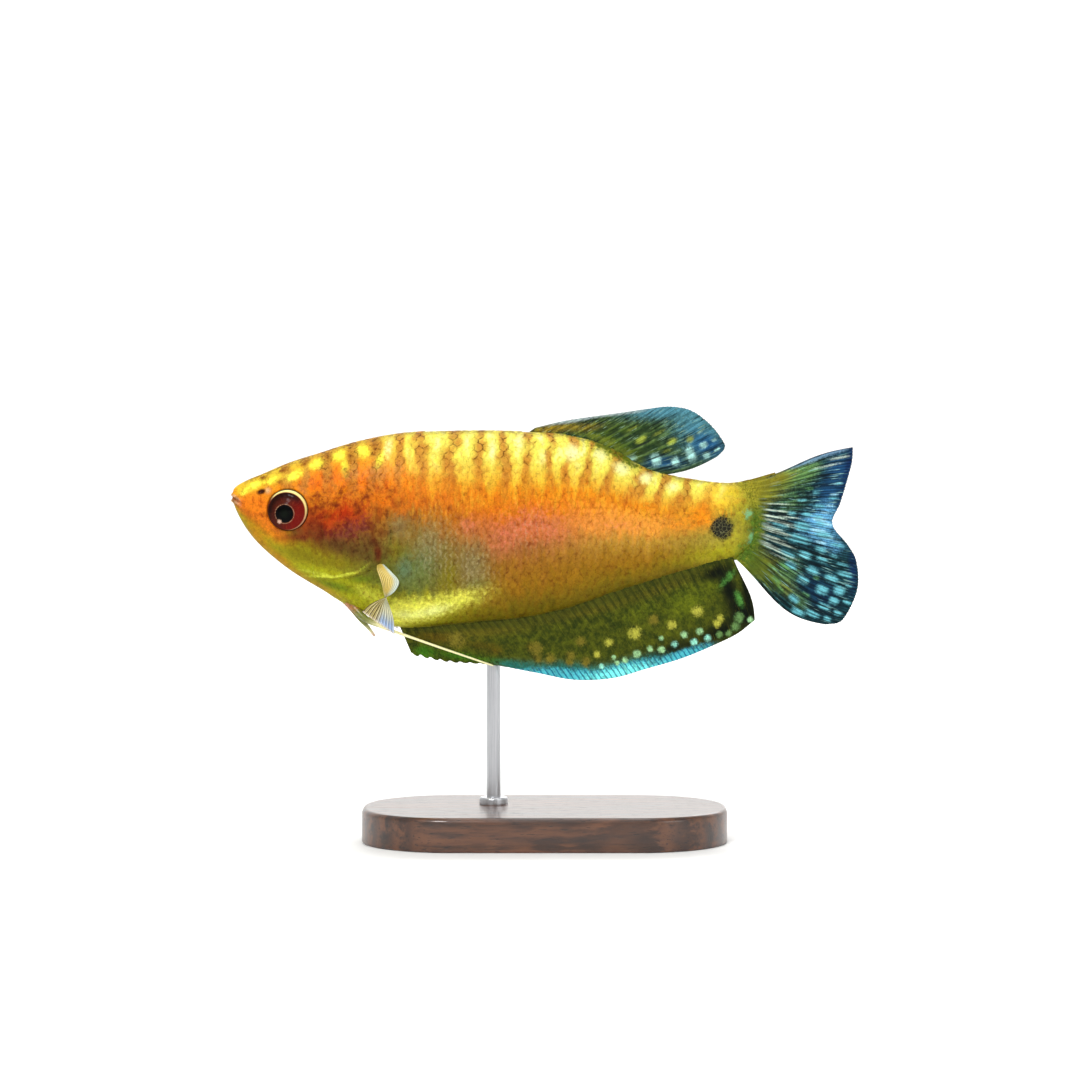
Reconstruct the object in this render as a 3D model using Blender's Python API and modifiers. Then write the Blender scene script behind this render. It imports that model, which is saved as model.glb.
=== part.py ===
"""Gold gourami, a still life-size model of the swimming fish on a plain display stand.

Blender 4.5, metres, +Z up. The snout points along -X and the left flank faces -Y.
The origin is in the middle of the stand's underside.
Sizes of the fish are given in millimetres in its own frame: x from the tip of the snout
towards the tail, y to the fish's right, z up from the line through the gill cover.
"""
import math

import bmesh
import bpy
import numpy as np

for thing in list(bpy.data.objects):
    bpy.data.objects.remove(thing, do_unlink=True)

# Driving dimensions
MM = 0.001
SNOUT_X = -55.0
LINE_Z = 52.8
GAP = 0.3                             # between neighbouring nodes
WELD = 0.002                          # points closer than this are one
CURVE_STEPS = 24                      # steps between two points of a smooth curve
BEYOND_X = (-6.0, 99.0)               # past both ends of the body
BEYOND_Z = 30.0                       # above and below the body
CUTTER_HALF = 14.0                    # half thickness of a flat cutter, more than the body's

# Body stations: x, back, belly, half width, and how boxy the section is (1 is an ellipse)
STATIONS = [
    (0.0, 7.7, 7.7, 0.0, 1.0),        # tip of the snout
    (0.35, 9.0, 6.2, 1.3, 1.0),       # lips
    (2.7, 10.4, 2.1, 2.5, 1.0),       # corner of the mouth
    (5.6, 11.6, -1.3, 3.4, 0.95),     # nostrils
    (10.3, 13.6, -5.2, 4.75, 0.9),    # eye
    (15.6, 15.4, -8.6, 5.9, 0.95),    # cheek
    (22.0, 17.4, -12.4, 6.8, 1.0),    # gill cover
    (29.8, 18.9, -15.4, 7.3, 1.05),   # shoulder and vent
    (41.0, 19.35, -14.7, 7.0, 1.1),   # trunk
    (51.0, 19.15, -13.8, 6.3, 1.1),   # front of the dorsal fin
    (59.5, 18.5, -12.0, 5.4, 1.1),    # middle of the anal fin
    (66.5, 16.4, -9.6, 4.5, 1.1),     # slope of the back
    (73.5, 12.5, -7.4, 3.5, 1.05),    # end of the dorsal fin
    (80.5, 10.95, -5.3, 2.6, 1.0),    # front of the tail stalk
    (88.0, 10.25, -3.7, 1.9, 1.0),    # end of the anal fin
    (96.0, 12.2, -4.4, 0.8, 1.0),     # inside the tail fin's base, cut off there
]
ROWS_PER_STATION = 3
BODY_SIDES = 40
WIDEST_ABOVE_MIDDLE = 0.12            # share of the half depth
FULL_LIFT_X = 30.0                    # where the widest place has risen by that share

# Lines that part the body, each a few points joined by a smooth curve
GILL_LINE = [(21.0, 19.5), (22.9, 12.3), (25.2, 7.7), (26.9, 3.2), (27.1, 0.0), (26.2, -3.0),
             (24.2, -5.6), (21.6, -9.2), (19.0, -14.0)]
STALK_LINE = [(78.4, 14.0), (77.4, 8.0), (77.2, 2.5), (77.8, -3.0), (79.4, -8.0)]
TAIL_BASE = [(90.4, 10.7), (92.2, 7.8), (92.9, 3.6), (92.1, -0.6), (89.6, -4.2)]
JAW_LINE = [(0.0, 7.55), (1.5, 6.9), (2.9, 5.3), (4.8, 2.5), (7.2, -0.7), (9.4, -3.6), (11.2, -7.2)]
GILL_COVER = [(22.3, 10.4), (25.6, 8.0), (28.0, 3.2), (28.2, -0.2), (26.6, -3.4), (23.9, -5.3),
              (20.6, -6.3), (16.6, -6.5), (14.6, -5.4), (15.2, -1.8), (16.2, 2.6), (18.4, 7.2)]
COVER_SWELL = 0.45
COVER_THICKNESS = 1.0
GILL_PART = 0.2                       # how far each side stays in x from the gill line
STALK_PART = 0.16                     # and from the tail stalk's line
JAW_NORMAL = (0.77, 0.64)             # across the jaw line, up and back

# Head details
EYE = (10.3, 5.4)
EYE_RADIUS = 3.65
EYE_HALF_DEPTH = 1.9
EYE_CENTRE_Y = 3.95
EYE_TURN = 12.0                       # degrees that the eye faces forward
EYE_GRID = (20, 10)                   # segments and rings
LIP_RADIUS = 0.38
LIP_SUNK = 0.12
LIP_ROUND = 1.7                       # power that bends the lips round the snout
UPPER_LIP_RISE = 0.42
LOWER_LIP_DROP = 0.5
LIP_POINTS = 13
MOUTH_CORNER_X = 2.7
NOSTRIL = (5.6, 8.6, 0.55)            # x, z and half length
NOSTRIL_FLATNESS = 0.8                # height to length
NOSTRIL_GRID = (8, 6)                 # segments and rings
NOSTRIL_DEPTH = 0.8
NOSTRIL_PROUD = 0.1                   # how far its middle stands outside the skin

# Fins: where the base starts and ends along the body, margin, number of rays
DORSAL_BASE = (51.6, 75.0)
DORSAL_MARGIN = [(53.4, 19.7), (58.0, 20.8), (62.0, 21.45), (67.5, 22.2), (73.0, 23.0),
                 (77.0, 23.4), (80.7, 22.7), (84.0, 20.3), (86.2, 17.5), (86.6, 16.1),
                 (85.3, 14.6)]
DORSAL_RAYS = 15
ANAL_BASE = (29.4, 88.0)
ANAL_MARGIN = [(31.8, -20.3), (38.1, -21.5), (45.8, -22.0), (53.3, -23.3), (60.3, -24.6),
               (67.0, -24.3), (73.1, -22.6), (79.1, -20.8), (84.3, -18.7), (88.7, -16.6),
               (91.9, -14.1)]
ANAL_RAYS = 44
TAIL_MARGIN = [(109.0, 16.3), (108.9, 13.8), (108.2, 10.9), (106.9, 6.5), (105.5, 2.8),
               (108.2, -0.9), (109.7, -3.9), (109.8, -8.8), (107.3, -14.0), (104.4, -14.9)]
TAIL_RAYS = 16
FIN_VALLEY = 0.26                     # half thickness of the membrane between two rays
FIN_CREST = 0.42                      # half thickness along a ray
FIN_TIP = 0.16                        # half thickness at the margin
FRONT_SHARE = 0.25                    # share of a fin whose margin may be notched

# Pectoral fin: a fan that twists once, so that it is narrow where it is seen edge on.
# From root to margin: middle (x, z), distance from the midplane, half span (x, z, y)
PECTORAL = [
    (26.5, -4.1, 6.0, 0.45, -0.2, 0.2),
    (28.1, -6.4, 8.2, 1.7, -0.35, 0.7),
    (27.6, -9.1, 8.8, 0.4, -0.1, 1.9),
    (26.9, -11.8, 8.2, -1.8, 1.2, 1.1),
    (26.2, -14.1, 7.6, -2.75, 2.0, 0.3),
]
PECTORAL_RAYS = 8
PECTORAL_ROWS = 11
PECTORAL_CREST = 0.36                 # half thickness along a ray
PECTORAL_THINNING = 1.2               # how fast it thins towards the margin

# Pelvic fins: a short stiff root and a long thread; x, y and z along the middle. The left
# thread runs on from its root's end, across the anal fin's near side to its lower edge. The
# right one grows from its root's rear side and trails behind the trunk.
PELVIC_LEFT = [(21.6, -1.3, -11.6), (23.6, -2.3, -13.6), (26.4, -2.8, -14.95), (29.0, -2.7, -15.95)]
THREAD_LEFT = [(29.3, -2.69, -16.05), (36.7, -2.3, -18.7), (43.8, -1.6, -21.2), (46.1, -1.35, -22.0)]
PELVIC_RIGHT = [(21.0, 1.3, -11.6), (22.6, 2.1, -13.9), (24.1, 2.5, -15.7), (25.1, 2.8, -17.1)]
THREAD_RIGHT = [(23.65, 2.72, -13.93), (24.6, 3.4, -14.1), (26.4, 4.4, -14.5), (29.0, 5.2, -14.8),
                (32.0, 5.6, -15.2), (36.0, 5.8, -16.2), (44.0, 5.7, -17.8), (52.0, 5.4, -19.2),
                (60.0, 5.0, -20.0)]
PELVIC_ROOT_RADIUS = 0.72
THREAD_RADIUS = 0.27
THREAD_TIP_RADIUS = 0.2
PELVIC_POINTS = 8
THREAD_POINTS = 27

# Display stand
BASE_LENGTH = 64.0
BASE_WIDTH = 36.0
BASE_THICKNESS = 6.0
BASE_CORNER = 16.0
BASE_BEVEL = 0.8
ROD_X = 46.0
ROD_Y = 3.3
ROD_RADIUS = 1.25
ROD_SIDES = 16
ROD_TOP = -7.0
SOCKET_LENGTH = 23.0                  # from the socket's end down to below the belly

MODEL = bpy.data.collections.new("gold_gourami")
CUTTERS = bpy.data.collections.new("cutters")
bpy.context.scene.collection.children.link(MODEL)
bpy.context.scene.collection.children.link(CUTTERS)


def world(points):
    """Points in the fish's frame in millimetres, as world points in metres."""
    return (np.asarray(points, float) + (SNOUT_X, 0.0, LINE_Z)) * MM


def through(points, steps):
    """A Catmull-Rom curve through the given points, with so many steps between two of them."""
    knots = np.asarray(points, float)
    padded = np.vstack([2 * knots[0] - knots[1], knots, 2 * knots[-1] - knots[-2]])
    spans = len(knots) - 1
    u = np.linspace(0.0, spans, spans * steps + 1)
    span = np.minimum(u.astype(int), spans - 1)
    t = (u - span)[:, None]
    a, b, c, d = (padded[span + offset] for offset in range(4))
    return 0.5 * (2 * b + (c - a) * t + (2 * a - 5 * b + 4 * c - d) * t ** 2
                  + (3 * b - 3 * c + d - a) * t ** 3)


def smooth_curve(points, count):
    """Evenly spaced points on a Catmull-Rom curve through the given points."""
    fine = through(points, CURVE_STEPS)
    steps = np.linalg.norm(np.diff(fine, axis=0), axis=1)
    run = np.concatenate([[0.0], np.cumsum(steps)])
    at = np.linspace(0.0, run[-1], count)
    return np.column_stack([np.interp(at, run, column) for column in fine.T])


ROWS = through(STATIONS, ROWS_PER_STATION)


def section(x, angle, offset=0.0):
    """Point (y, z) of the body's section at x, moved outwards; angle 0 is the back, pi the belly."""
    back, belly, half_width, boxy = (np.interp(x, ROWS[:, 0], ROWS[:, i]) for i in (1, 2, 3, 4))
    half_depth = np.maximum((back - belly) / 2 + offset, 0.1)
    sine = np.sin(angle)
    y = np.maximum(half_width + offset, 0.05) * np.sign(sine) * np.abs(sine) ** boxy
    lift = WIDEST_ABOVE_MIDDLE * half_depth * sine ** 2 * np.clip(x / FULL_LIFT_X, 0, 1)
    return y, (back + belly) / 2 + half_depth * np.cos(angle) + lift


def flank(x, z):
    """Half width of the body at height z."""
    angles = np.linspace(0.0, math.pi, 121)
    y, heights = section(x, angles)
    return float(np.interp(-z, -heights, y))


def add_mesh(name, vertices, faces, collection=MODEL):
    """An object made from points in metres and faces."""
    mesh = bpy.data.meshes.new(name)
    mesh.from_pydata([tuple(point) for point in vertices], [], faces)
    obj = bpy.data.objects.new(name, mesh)
    collection.objects.link(obj)
    return obj


def face_outwards(obj):
    """Turn the faces of a closed mesh outwards."""
    bm = bmesh.new()
    bm.from_mesh(obj.data)
    bmesh.ops.recalc_face_normals(bm, faces=bm.faces)
    bm.to_mesh(obj.data)
    bm.free()
    return obj


def freeze(obj):
    """Replace an object by the mesh that its modifiers and its place give, with caps welded."""
    bpy.context.view_layer.update()
    evaluated = obj.evaluated_get(bpy.context.evaluated_depsgraph_get())
    mesh = bpy.data.meshes.new_from_object(evaluated)
    mesh.transform(obj.matrix_world)
    mesh.name = obj.name
    frozen = bpy.data.objects.new("frozen", mesh)
    obj.users_collection[0].objects.link(frozen)
    name = obj.name
    bpy.data.objects.remove(obj, do_unlink=True)
    frozen.name = name
    bm = bmesh.new()
    bm.from_mesh(mesh)
    bmesh.ops.remove_doubles(bm, verts=bm.verts, dist=WELD * MM)
    bmesh.ops.dissolve_degenerate(bm, edges=bm.edges, dist=WELD * MM)
    bmesh.ops.recalc_face_normals(bm, faces=bm.faces)
    bm.to_mesh(mesh)
    bm.free()
    return frozen


def keep_largest(obj):
    """Keep only the largest closed surface of a mesh."""
    bm = bmesh.new()
    bm.from_mesh(obj.data)
    unseen = set(bm.faces)
    shells = []
    while unseen:
        stack = [unseen.pop()]
        shell = []
        while stack:
            face = stack.pop()
            shell.append(face)
            for edge in face.edges:
                for other in edge.link_faces:
                    if other in unseen:
                        unseen.remove(other)
                        stack.append(other)
        shells.append(shell)
    shells.sort(key=lambda shell: sum(face.calc_area() for face in shell))
    spare = [face for shell in shells[:-1] for face in shell]
    bmesh.ops.delete(bm, geom=spare, context="FACES")
    bm.to_mesh(obj.data)
    bm.free()
    return obj


def move_to(obj, collection):
    """Take an object out of the collections that hold it and put it in another."""
    for holder in list(obj.users_collection):
        holder.objects.unlink(obj)
    collection.objects.link(obj)
    return obj


def combine(obj, other, operation):
    """Apply one Boolean of a mesh with another closed mesh."""
    modifier = obj.modifiers.new(operation, "BOOLEAN")
    modifier.operation = operation
    modifier.object = other
    modifier.solver = "EXACT"
    return keep_largest(freeze(obj))


def unite(obj, pieces):
    """Join pieces to a node with one Boolean union on their collection, then remove them."""
    group = bpy.data.collections.new("pieces")
    bpy.context.scene.collection.children.link(group)
    for piece in pieces:
        move_to(piece, group)
    modifier = obj.modifiers.new("UNION", "BOOLEAN")
    modifier.operation = "UNION"
    modifier.operand_type = "COLLECTION"
    modifier.collection = group
    modifier.solver = "EXACT"
    joined = keep_largest(freeze(obj))
    for piece in pieces:
        bpy.data.objects.remove(piece, do_unlink=True)
    bpy.data.collections.remove(group)
    return joined


def hide_cutter(obj):
    """Show a cutter as wire and leave it out of renders."""
    obj.hide_render = True
    obj.display_type = "WIRE"
    return obj


def plate(name, outline, middle_y, half_thickness, collection=CUTTERS):
    """A flat piece in the XZ plane: a filled 2D curve, extruded to both sides."""
    curve = bpy.data.curves.new(name, "CURVE")
    curve.dimensions = "2D"
    curve.fill_mode = "BOTH"
    curve.extrude = half_thickness * MM
    spline = curve.splines.new("POLY")
    spline.points.add(len(outline) - 1)
    for point, (x, z) in zip(spline.points, outline):
        point.co = ((x + SNOUT_X) * MM, (z + LINE_Z) * MM, 0.0, 1.0)
    spline.use_cyclic_u = True
    obj = bpy.data.objects.new(name, curve)
    collection.objects.link(obj)
    obj.rotation_euler = (math.pi / 2, 0.0, 0.0)
    obj.location = (0.0, middle_y * MM, 0.0)
    return freeze(obj)


def body_line(column, ends, offset, count=40):
    """Points along the back (column 1) or the belly (column 2) of the body, moved up by an offset."""
    x = np.linspace(*ends, count)
    return np.column_stack([x, np.interp(x, ROWS[:, 0], ROWS[:, column]) + offset])


def tube(name, path, radii, sides=2, collection=MODEL):
    """A tapering tube along a path, as a bevelled curve with filled caps."""
    curve = bpy.data.curves.new(name, "CURVE")
    curve.dimensions = "3D"
    curve.bevel_depth = MM
    curve.bevel_resolution = sides
    curve.use_fill_caps = True
    spline = curve.splines.new("POLY")
    spline.points.add(len(path) - 1)
    for point, place, radius in zip(spline.points, world(path), radii):
        point.co = (*place, 1.0)
        point.radius = radius
    obj = bpy.data.objects.new(name, curve)
    collection.objects.link(obj)
    return freeze(obj)


def ball(name, centre, radii, turn, grid, collection=CUTTERS):
    """An ellipsoid with its poles to the sides, turned about the vertical by some degrees."""
    bpy.ops.mesh.primitive_uv_sphere_add(segments=grid[0], ring_count=grid[1], radius=MM)
    obj = move_to(bpy.context.active_object, collection)
    obj.name = name
    obj.rotation_euler = (math.pi / 2, 0.0, math.radians(turn))
    obj.scale = (radii[0], radii[2], radii[1])
    obj.location = world(centre)
    return freeze(obj)


def loft(name, offset=0.0, collection=CUTTERS):
    """The whole body as one closed loft of its sections, moved outwards by an offset."""
    angles = np.linspace(0.0, 2 * math.pi, BODY_SIDES, endpoint=False)
    rings = []
    for x in ROWS[1:, 0]:
        y, z = section(x, angles, offset)
        rings.append(np.column_stack([np.full(BODY_SIDES, x), y, z]))
    points = [(0.0, 0.0, ROWS[0, 1])] + [tuple(p) for ring in rings for p in ring]
    tail_middle = (ROWS[-1, 0], 0.0, (ROWS[-1, 1] + ROWS[-1, 2]) / 2)
    points.append(tail_middle)
    last = len(points) - 1
    faces = []
    for j in range(BODY_SIDES):
        k = (j + 1) % BODY_SIDES
        faces.append((0, 1 + k, 1 + j))
        faces.append((last, last - BODY_SIDES + j, last - BODY_SIDES + k))
        for i in range(len(rings) - 1):
            here = 1 + i * BODY_SIDES
            there = here + BODY_SIDES
            faces.append((here + j, here + k, there + k, there + j))
    return face_outwards(add_mesh(name, world(points), faces, collection))


def sheet(name, near, far):
    """A closed thin sheet between two grids of points, split alike on both faces."""
    columns, rows = near.shape[:2]
    points = np.vstack([near.reshape(-1, 3), far.reshape(-1, 3)])
    other = columns * rows

    def at(i, j):
        return i * rows + j

    faces = []
    for i in range(columns - 1):
        for j in range(rows - 1):
            a, b, c, d = at(i, j), at(i + 1, j), at(i + 1, j + 1), at(i, j + 1)
            faces += [(a, b, c), (a, c, d)]
            faces += [(other + a, other + c, other + b), (other + a, other + d, other + c)]
    rim = [at(i, 0) for i in range(columns)]
    rim += [at(columns - 1, j) for j in range(1, rows)]
    rim += [at(i, rows - 1) for i in range(columns - 2, -1, -1)]
    rim += [at(0, j) for j in range(rows - 2, 0, -1)]
    for here, there in zip(rim, rim[1:] + rim[:1]):
        faces.append((here, other + here, other + there))
        faces.append((here, other + there, there))
    return face_outwards(add_mesh(name, world(points), faces))


def fin(name, base, margin, rays, rows, lean, bend, root_half, wave, notch=0.0):
    """A fin in the middle plane, with its rays raised as ridges in its own surface.

    base and margin are curves; lean moves the rays' tips towards the rear, bend curves the
    rays by a length that is a function of the ray's place and the place along it, wave sways
    the margin sideways, and notch sets the membrane back between the tips of the front rays.
    """
    columns = 2 * rays + 1
    share = np.linspace(0.0, 1.0, columns)
    fine = 600
    base_curve = smooth_curve(base, fine)
    margin_curve = smooth_curve(margin, fine)
    tips = np.clip(share + lean * np.sin(math.pi * share), 0.0, 1.0)
    at = np.linspace(0.0, 1.0, fine)
    roots = np.column_stack([np.interp(share, at, column) for column in base_curve.T])
    ends = np.column_stack([np.interp(tips, at, column) for column in margin_curve.T])
    v = np.linspace(0.0, 1.0, rows)[None, :, None]
    along = ends - roots
    length = np.linalg.norm(along, axis=1)
    short = notch * np.clip(1.0 - share / FRONT_SHARE, 0.0, 1.0) * (np.arange(columns) % 2 == 0)
    along *= (1.0 - short / length)[:, None]
    across = np.column_stack([-along[:, 1], along[:, 0]])
    across /= np.linalg.norm(across, axis=1)[:, None]
    flat = roots[:, None] + along[:, None] * v
    v = v[..., 0]
    flat = flat + across[:, None] * bend(share[:, None], v)[..., None]
    crest = (np.arange(columns) % 2 == 1)[:, None]
    half = np.where(crest, FIN_CREST, FIN_VALLEY)
    half = half + (root_half - half) * (1 - v) ** 3
    half = np.minimum(half, FIN_TIP + (root_half - FIN_TIP) * (1 - v) * 3.0)
    sway = wave(share)[:, None] * v ** 2
    near = np.dstack([flat[..., 0], sway - half, flat[..., 1]])
    far = np.dstack([flat[..., 0], sway + half, flat[..., 1]])
    return sheet(name, near, far)


def shifted(line, dx, dz):
    """A line of points moved in the XZ plane."""
    return [(x + dx, z + dz) for x, z in line]


def grown(outline, distance):
    """A closed outline moved outwards by a distance."""
    points = np.asarray(outline, float)
    tangent = np.roll(points, -1, axis=0) - np.roll(points, 1, axis=0)
    tangent /= np.linalg.norm(tangent, axis=1)[:, None]
    normal = np.column_stack([tangent[:, 1], -tangent[:, 0]])
    middle = points.mean(axis=0)
    sign = np.sign(((points - middle) * normal).sum())
    return [tuple(p) for p in points + normal * sign * distance]


def closed_curve(outline, count):
    """A smooth closed outline through a few points."""
    points = list(outline) * 3
    fine = smooth_curve(points, count * 3)
    return [tuple(p) for p in fine[count:2 * count]]


def body_between(name, front, rear):
    """The part of the body between two lines; None stands for its end."""
    left = [(BEYOND_X[0], 0.0)] if front is None else front
    right = [(BEYOND_X[1], 0.0)] if rear is None else rear
    left = [(left[0][0], BEYOND_Z), *left, (left[-1][0], -BEYOND_Z)]
    right = [(right[0][0], BEYOND_Z), *right, (right[-1][0], -BEYOND_Z)]
    region = hide_cutter(plate(name + "_region", left + right[::-1], 0.0, CUTTER_HALF))
    return combine(loft(name, collection=MODEL), region, "INTERSECT")


def parting(line, count):
    """A parting line as a smooth row of points."""
    return [tuple(p) for p in smooth_curve(line, count)]


def jaw_region(name, offset):
    """The space in front of and below the jaw line, moved up and back by an offset."""
    line = shifted(parting(JAW_LINE, 13), offset * JAW_NORMAL[0], offset * JAW_NORMAL[1])
    outline = [(BEYOND_X[0], line[0][1]), *line, (line[-1][0], -BEYOND_Z), (BEYOND_X[0], -BEYOND_Z)]
    return hide_cutter(plate(name, outline, 0.0, CUTTER_HALF))


def lip(name, offset):
    """A lip: a tube that follows the mouth from corner to corner round the snout."""
    t = np.linspace(-1.0, 1.0, 7)
    x = LIP_RADIUS + (MOUTH_CORNER_X - LIP_RADIUS) * np.abs(t) ** LIP_ROUND
    line = np.array(parting(JAW_LINE, 60))
    z = np.interp(x, line[:, 0], line[:, 1]) + offset
    y = [math.copysign(max(flank(px, pz) - LIP_SUNK, 0.0), side) for px, pz, side in zip(x, z, t)]
    path = smooth_curve(np.column_stack([x, y, z]), LIP_POINTS)
    ends = np.abs(np.linspace(-1.0, 1.0, LIP_POINTS)) ** 3
    return tube(name, path, LIP_RADIUS * (1.0 - 0.6 * ends), sides=1)


def make_head():
    """The head with eye sockets, nostrils, upper lip and the recess of each gill cover."""
    head = body_between("head", None, shifted(parting(GILL_LINE, 17), -GILL_PART, 0.0))
    head = combine(head, jaw_region("jaw_space", GAP / 2), "DIFFERENCE")
    recess = plate("gill_recess", grown(closed_curve(GILL_COVER, 32), GAP), 0.0, CUTTER_HALF)
    core = loft("gill_core", -(COVER_THICKNESS + GAP))
    modifier = recess.modifiers.new("core", "BOOLEAN")
    modifier.operation = "DIFFERENCE"
    modifier.object = core
    recess = hide_cutter(freeze(recess))
    hide_cutter(core)
    head = combine(head, recess, "DIFFERENCE")
    for side in (-1, 1):
        socket = ball("eye_socket", (EYE[0], side * EYE_CENTRE_Y, EYE[1]),
                      (EYE_RADIUS + GAP, EYE_HALF_DEPTH + GAP, EYE_RADIUS + GAP),
                      side * EYE_TURN, EYE_GRID)
        head = combine(head, hide_cutter(socket), "DIFFERENCE")
        x, z, radius = NOSTRIL
        pit = ball("nostril", (x, side * (flank(x, z) + NOSTRIL_PROUD), z),
                   (radius, NOSTRIL_DEPTH, radius * NOSTRIL_FLATNESS), 0.0, NOSTRIL_GRID)
        head = combine(head, hide_cutter(pit), "DIFFERENCE")
    return unite(head, [lip("upper_lip", UPPER_LIP_RISE)])


def make_jaw():
    """The lower jaw with its lip."""
    jaw = combine(loft("lower_jaw", collection=MODEL), jaw_region("jaw_part", -GAP / 2), "INTERSECT")
    return unite(jaw, [lip("lower_lip", -LOWER_LIP_DROP)])


def make_gill_cover(side, name):
    """A gill cover: a curved plate that stands a little proud of the head."""
    shape = closed_curve(GILL_COVER, 32)
    outline = plate(name + "_outline", shape, side * (CUTTER_HALF + GAP), CUTTER_HALF)
    line = shifted(parting(GILL_LINE, 17), -GILL_PART, 0.0)
    corners = [(0.0, -BEYOND_Z), (0.0, BEYOND_Z), (line[0][0], BEYOND_Z)]
    front = plate(name + "_front", [*corners, *line, (line[-1][0], -BEYOND_Z)], 0.0, CUTTER_HALF)
    cover = loft(name, COVER_SWELL, MODEL)
    cover = combine(cover, hide_cutter(outline), "INTERSECT")
    cover = combine(cover, hide_cutter(front), "INTERSECT")
    inner = hide_cutter(loft(name + "_inner", -COVER_THICKNESS))
    return combine(cover, inner, "DIFFERENCE")


def make_eye(side, name):
    """An eyeball, flatter than a sphere and sunk in its socket."""
    return ball(name, (EYE[0], side * EYE_CENTRE_Y, EYE[1]),
                (EYE_RADIUS, EYE_HALF_DEPTH, EYE_RADIUS), side * EYE_TURN, EYE_GRID, MODEL)


def make_torso():
    """The trunk from the gill line to the tail stalk, with the rod's socket."""
    torso = body_between("torso", shifted(parting(GILL_LINE, 17), GILL_PART, 0.0),
                         shifted(parting(STALK_LINE, 9), -STALK_PART, 0.0))
    bpy.ops.mesh.primitive_cylinder_add(
        vertices=ROD_SIDES, radius=(ROD_RADIUS + GAP) * MM, depth=SOCKET_LENGTH * MM,
        location=tuple(world((ROD_X, ROD_Y, ROD_TOP + GAP - SOCKET_LENGTH / 2))))
    socket = move_to(bpy.context.active_object, CUTTERS)
    socket.name = "rod_socket"
    return combine(torso, hide_cutter(socket), "DIFFERENCE")


def make_tail_stalk():
    """The tail stalk, with a round rear edge that the tail fin grows from."""
    return body_between("tail_stalk", shifted(parting(STALK_LINE, 9), STALK_PART, 0.0),
                        shifted(parting(TAIL_BASE, 13), -GAP, 0.0))


def make_dorsal_fin():
    """The dorsal fin, swept back and short in front."""
    return fin("dorsal_fin", body_line(1, DORSAL_BASE, GAP), DORSAL_MARGIN, DORSAL_RAYS, 6,
               0.06, lambda s, v: -0.65 * s ** 2 * np.sin(math.pi * v), 0.55,
               lambda s: 0.5 * np.sin(2.2 * math.pi * s))


def make_anal_fin():
    """The long anal fin, with a low front and a rear edge that hangs square."""
    return fin("anal_fin", body_line(2, ANAL_BASE, -GAP), ANAL_MARGIN, ANAL_RAYS, 5,
               0.07, lambda s, v: (0.35 * np.sin(math.pi * s) * np.sin(math.pi * v)
                                   + 0.7 * s ** 8 * np.sin(math.pi * v ** 1.6)),
               0.55, lambda s: 0.35 * np.sin(5.0 * math.pi * s) * s, notch=0.6)


def make_tail_fin():
    """The forked tail fin with rounded lobes."""
    return fin("tail_fin", TAIL_BASE, TAIL_MARGIN, TAIL_RAYS, 7,
               0.0, lambda s, v: (-2.1 * s ** 4 * np.sin(math.pi * v ** 1.5)
                                  - 0.45 * (1 - s) ** 5 * np.sin(2 * math.pi * v)),
               0.8, lambda s: 0.6 * np.sin(2.0 * math.pi * s))


def make_pectoral(side, name):
    """A pectoral fin: a fan of rays hanging from behind the gill cover, twisted half a turn."""
    columns = 2 * PECTORAL_RAYS + 1
    rows = smooth_curve(PECTORAL, PECTORAL_ROWS)
    middle = rows[:, (0, 2, 1)]
    span = rows[:, (3, 5, 4)]
    s = np.linspace(-1.0, 1.0, columns)[:, None, None]
    grid = middle[None] + s * span[None]
    along = np.gradient(grid, axis=1)
    normal = np.cross(np.broadcast_to(span[None], grid.shape), along)
    normal /= np.linalg.norm(normal, axis=2)[..., None]
    v = np.linspace(0.0, 1.0, PECTORAL_ROWS)[None, :]
    half = np.where((np.arange(columns) % 2 == 1)[:, None], PECTORAL_CREST, FIN_VALLEY)
    half = np.minimum(half, FIN_TIP + PECTORAL_THINNING * (1.0 - v))
    near = grid - half[..., None] * normal
    far = grid + half[..., None] * normal
    for face in (near, far):
        face[..., 1] *= side
    return combine(sheet(name, near, far), SKIN_CLEARANCE, "DIFFERENCE")


def make_pelvic(word, root, thread):
    """A pelvic fin: a stiff root, clear of the skin, and a long thread a gap away from it."""
    stiff = np.linspace(PELVIC_ROOT_RADIUS, THREAD_RADIUS, PELVIC_POINTS)
    spike = tube("pelvic_fin_" + word, smooth_curve(root, PELVIC_POINTS), stiff)
    combine(spike, SKIN_CLEARANCE, "DIFFERENCE")
    free = np.linspace(THREAD_RADIUS, THREAD_TIP_RADIUS, THREAD_POINTS)
    tube("pelvic_thread_" + word, smooth_curve(thread, THREAD_POINTS), free)


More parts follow.
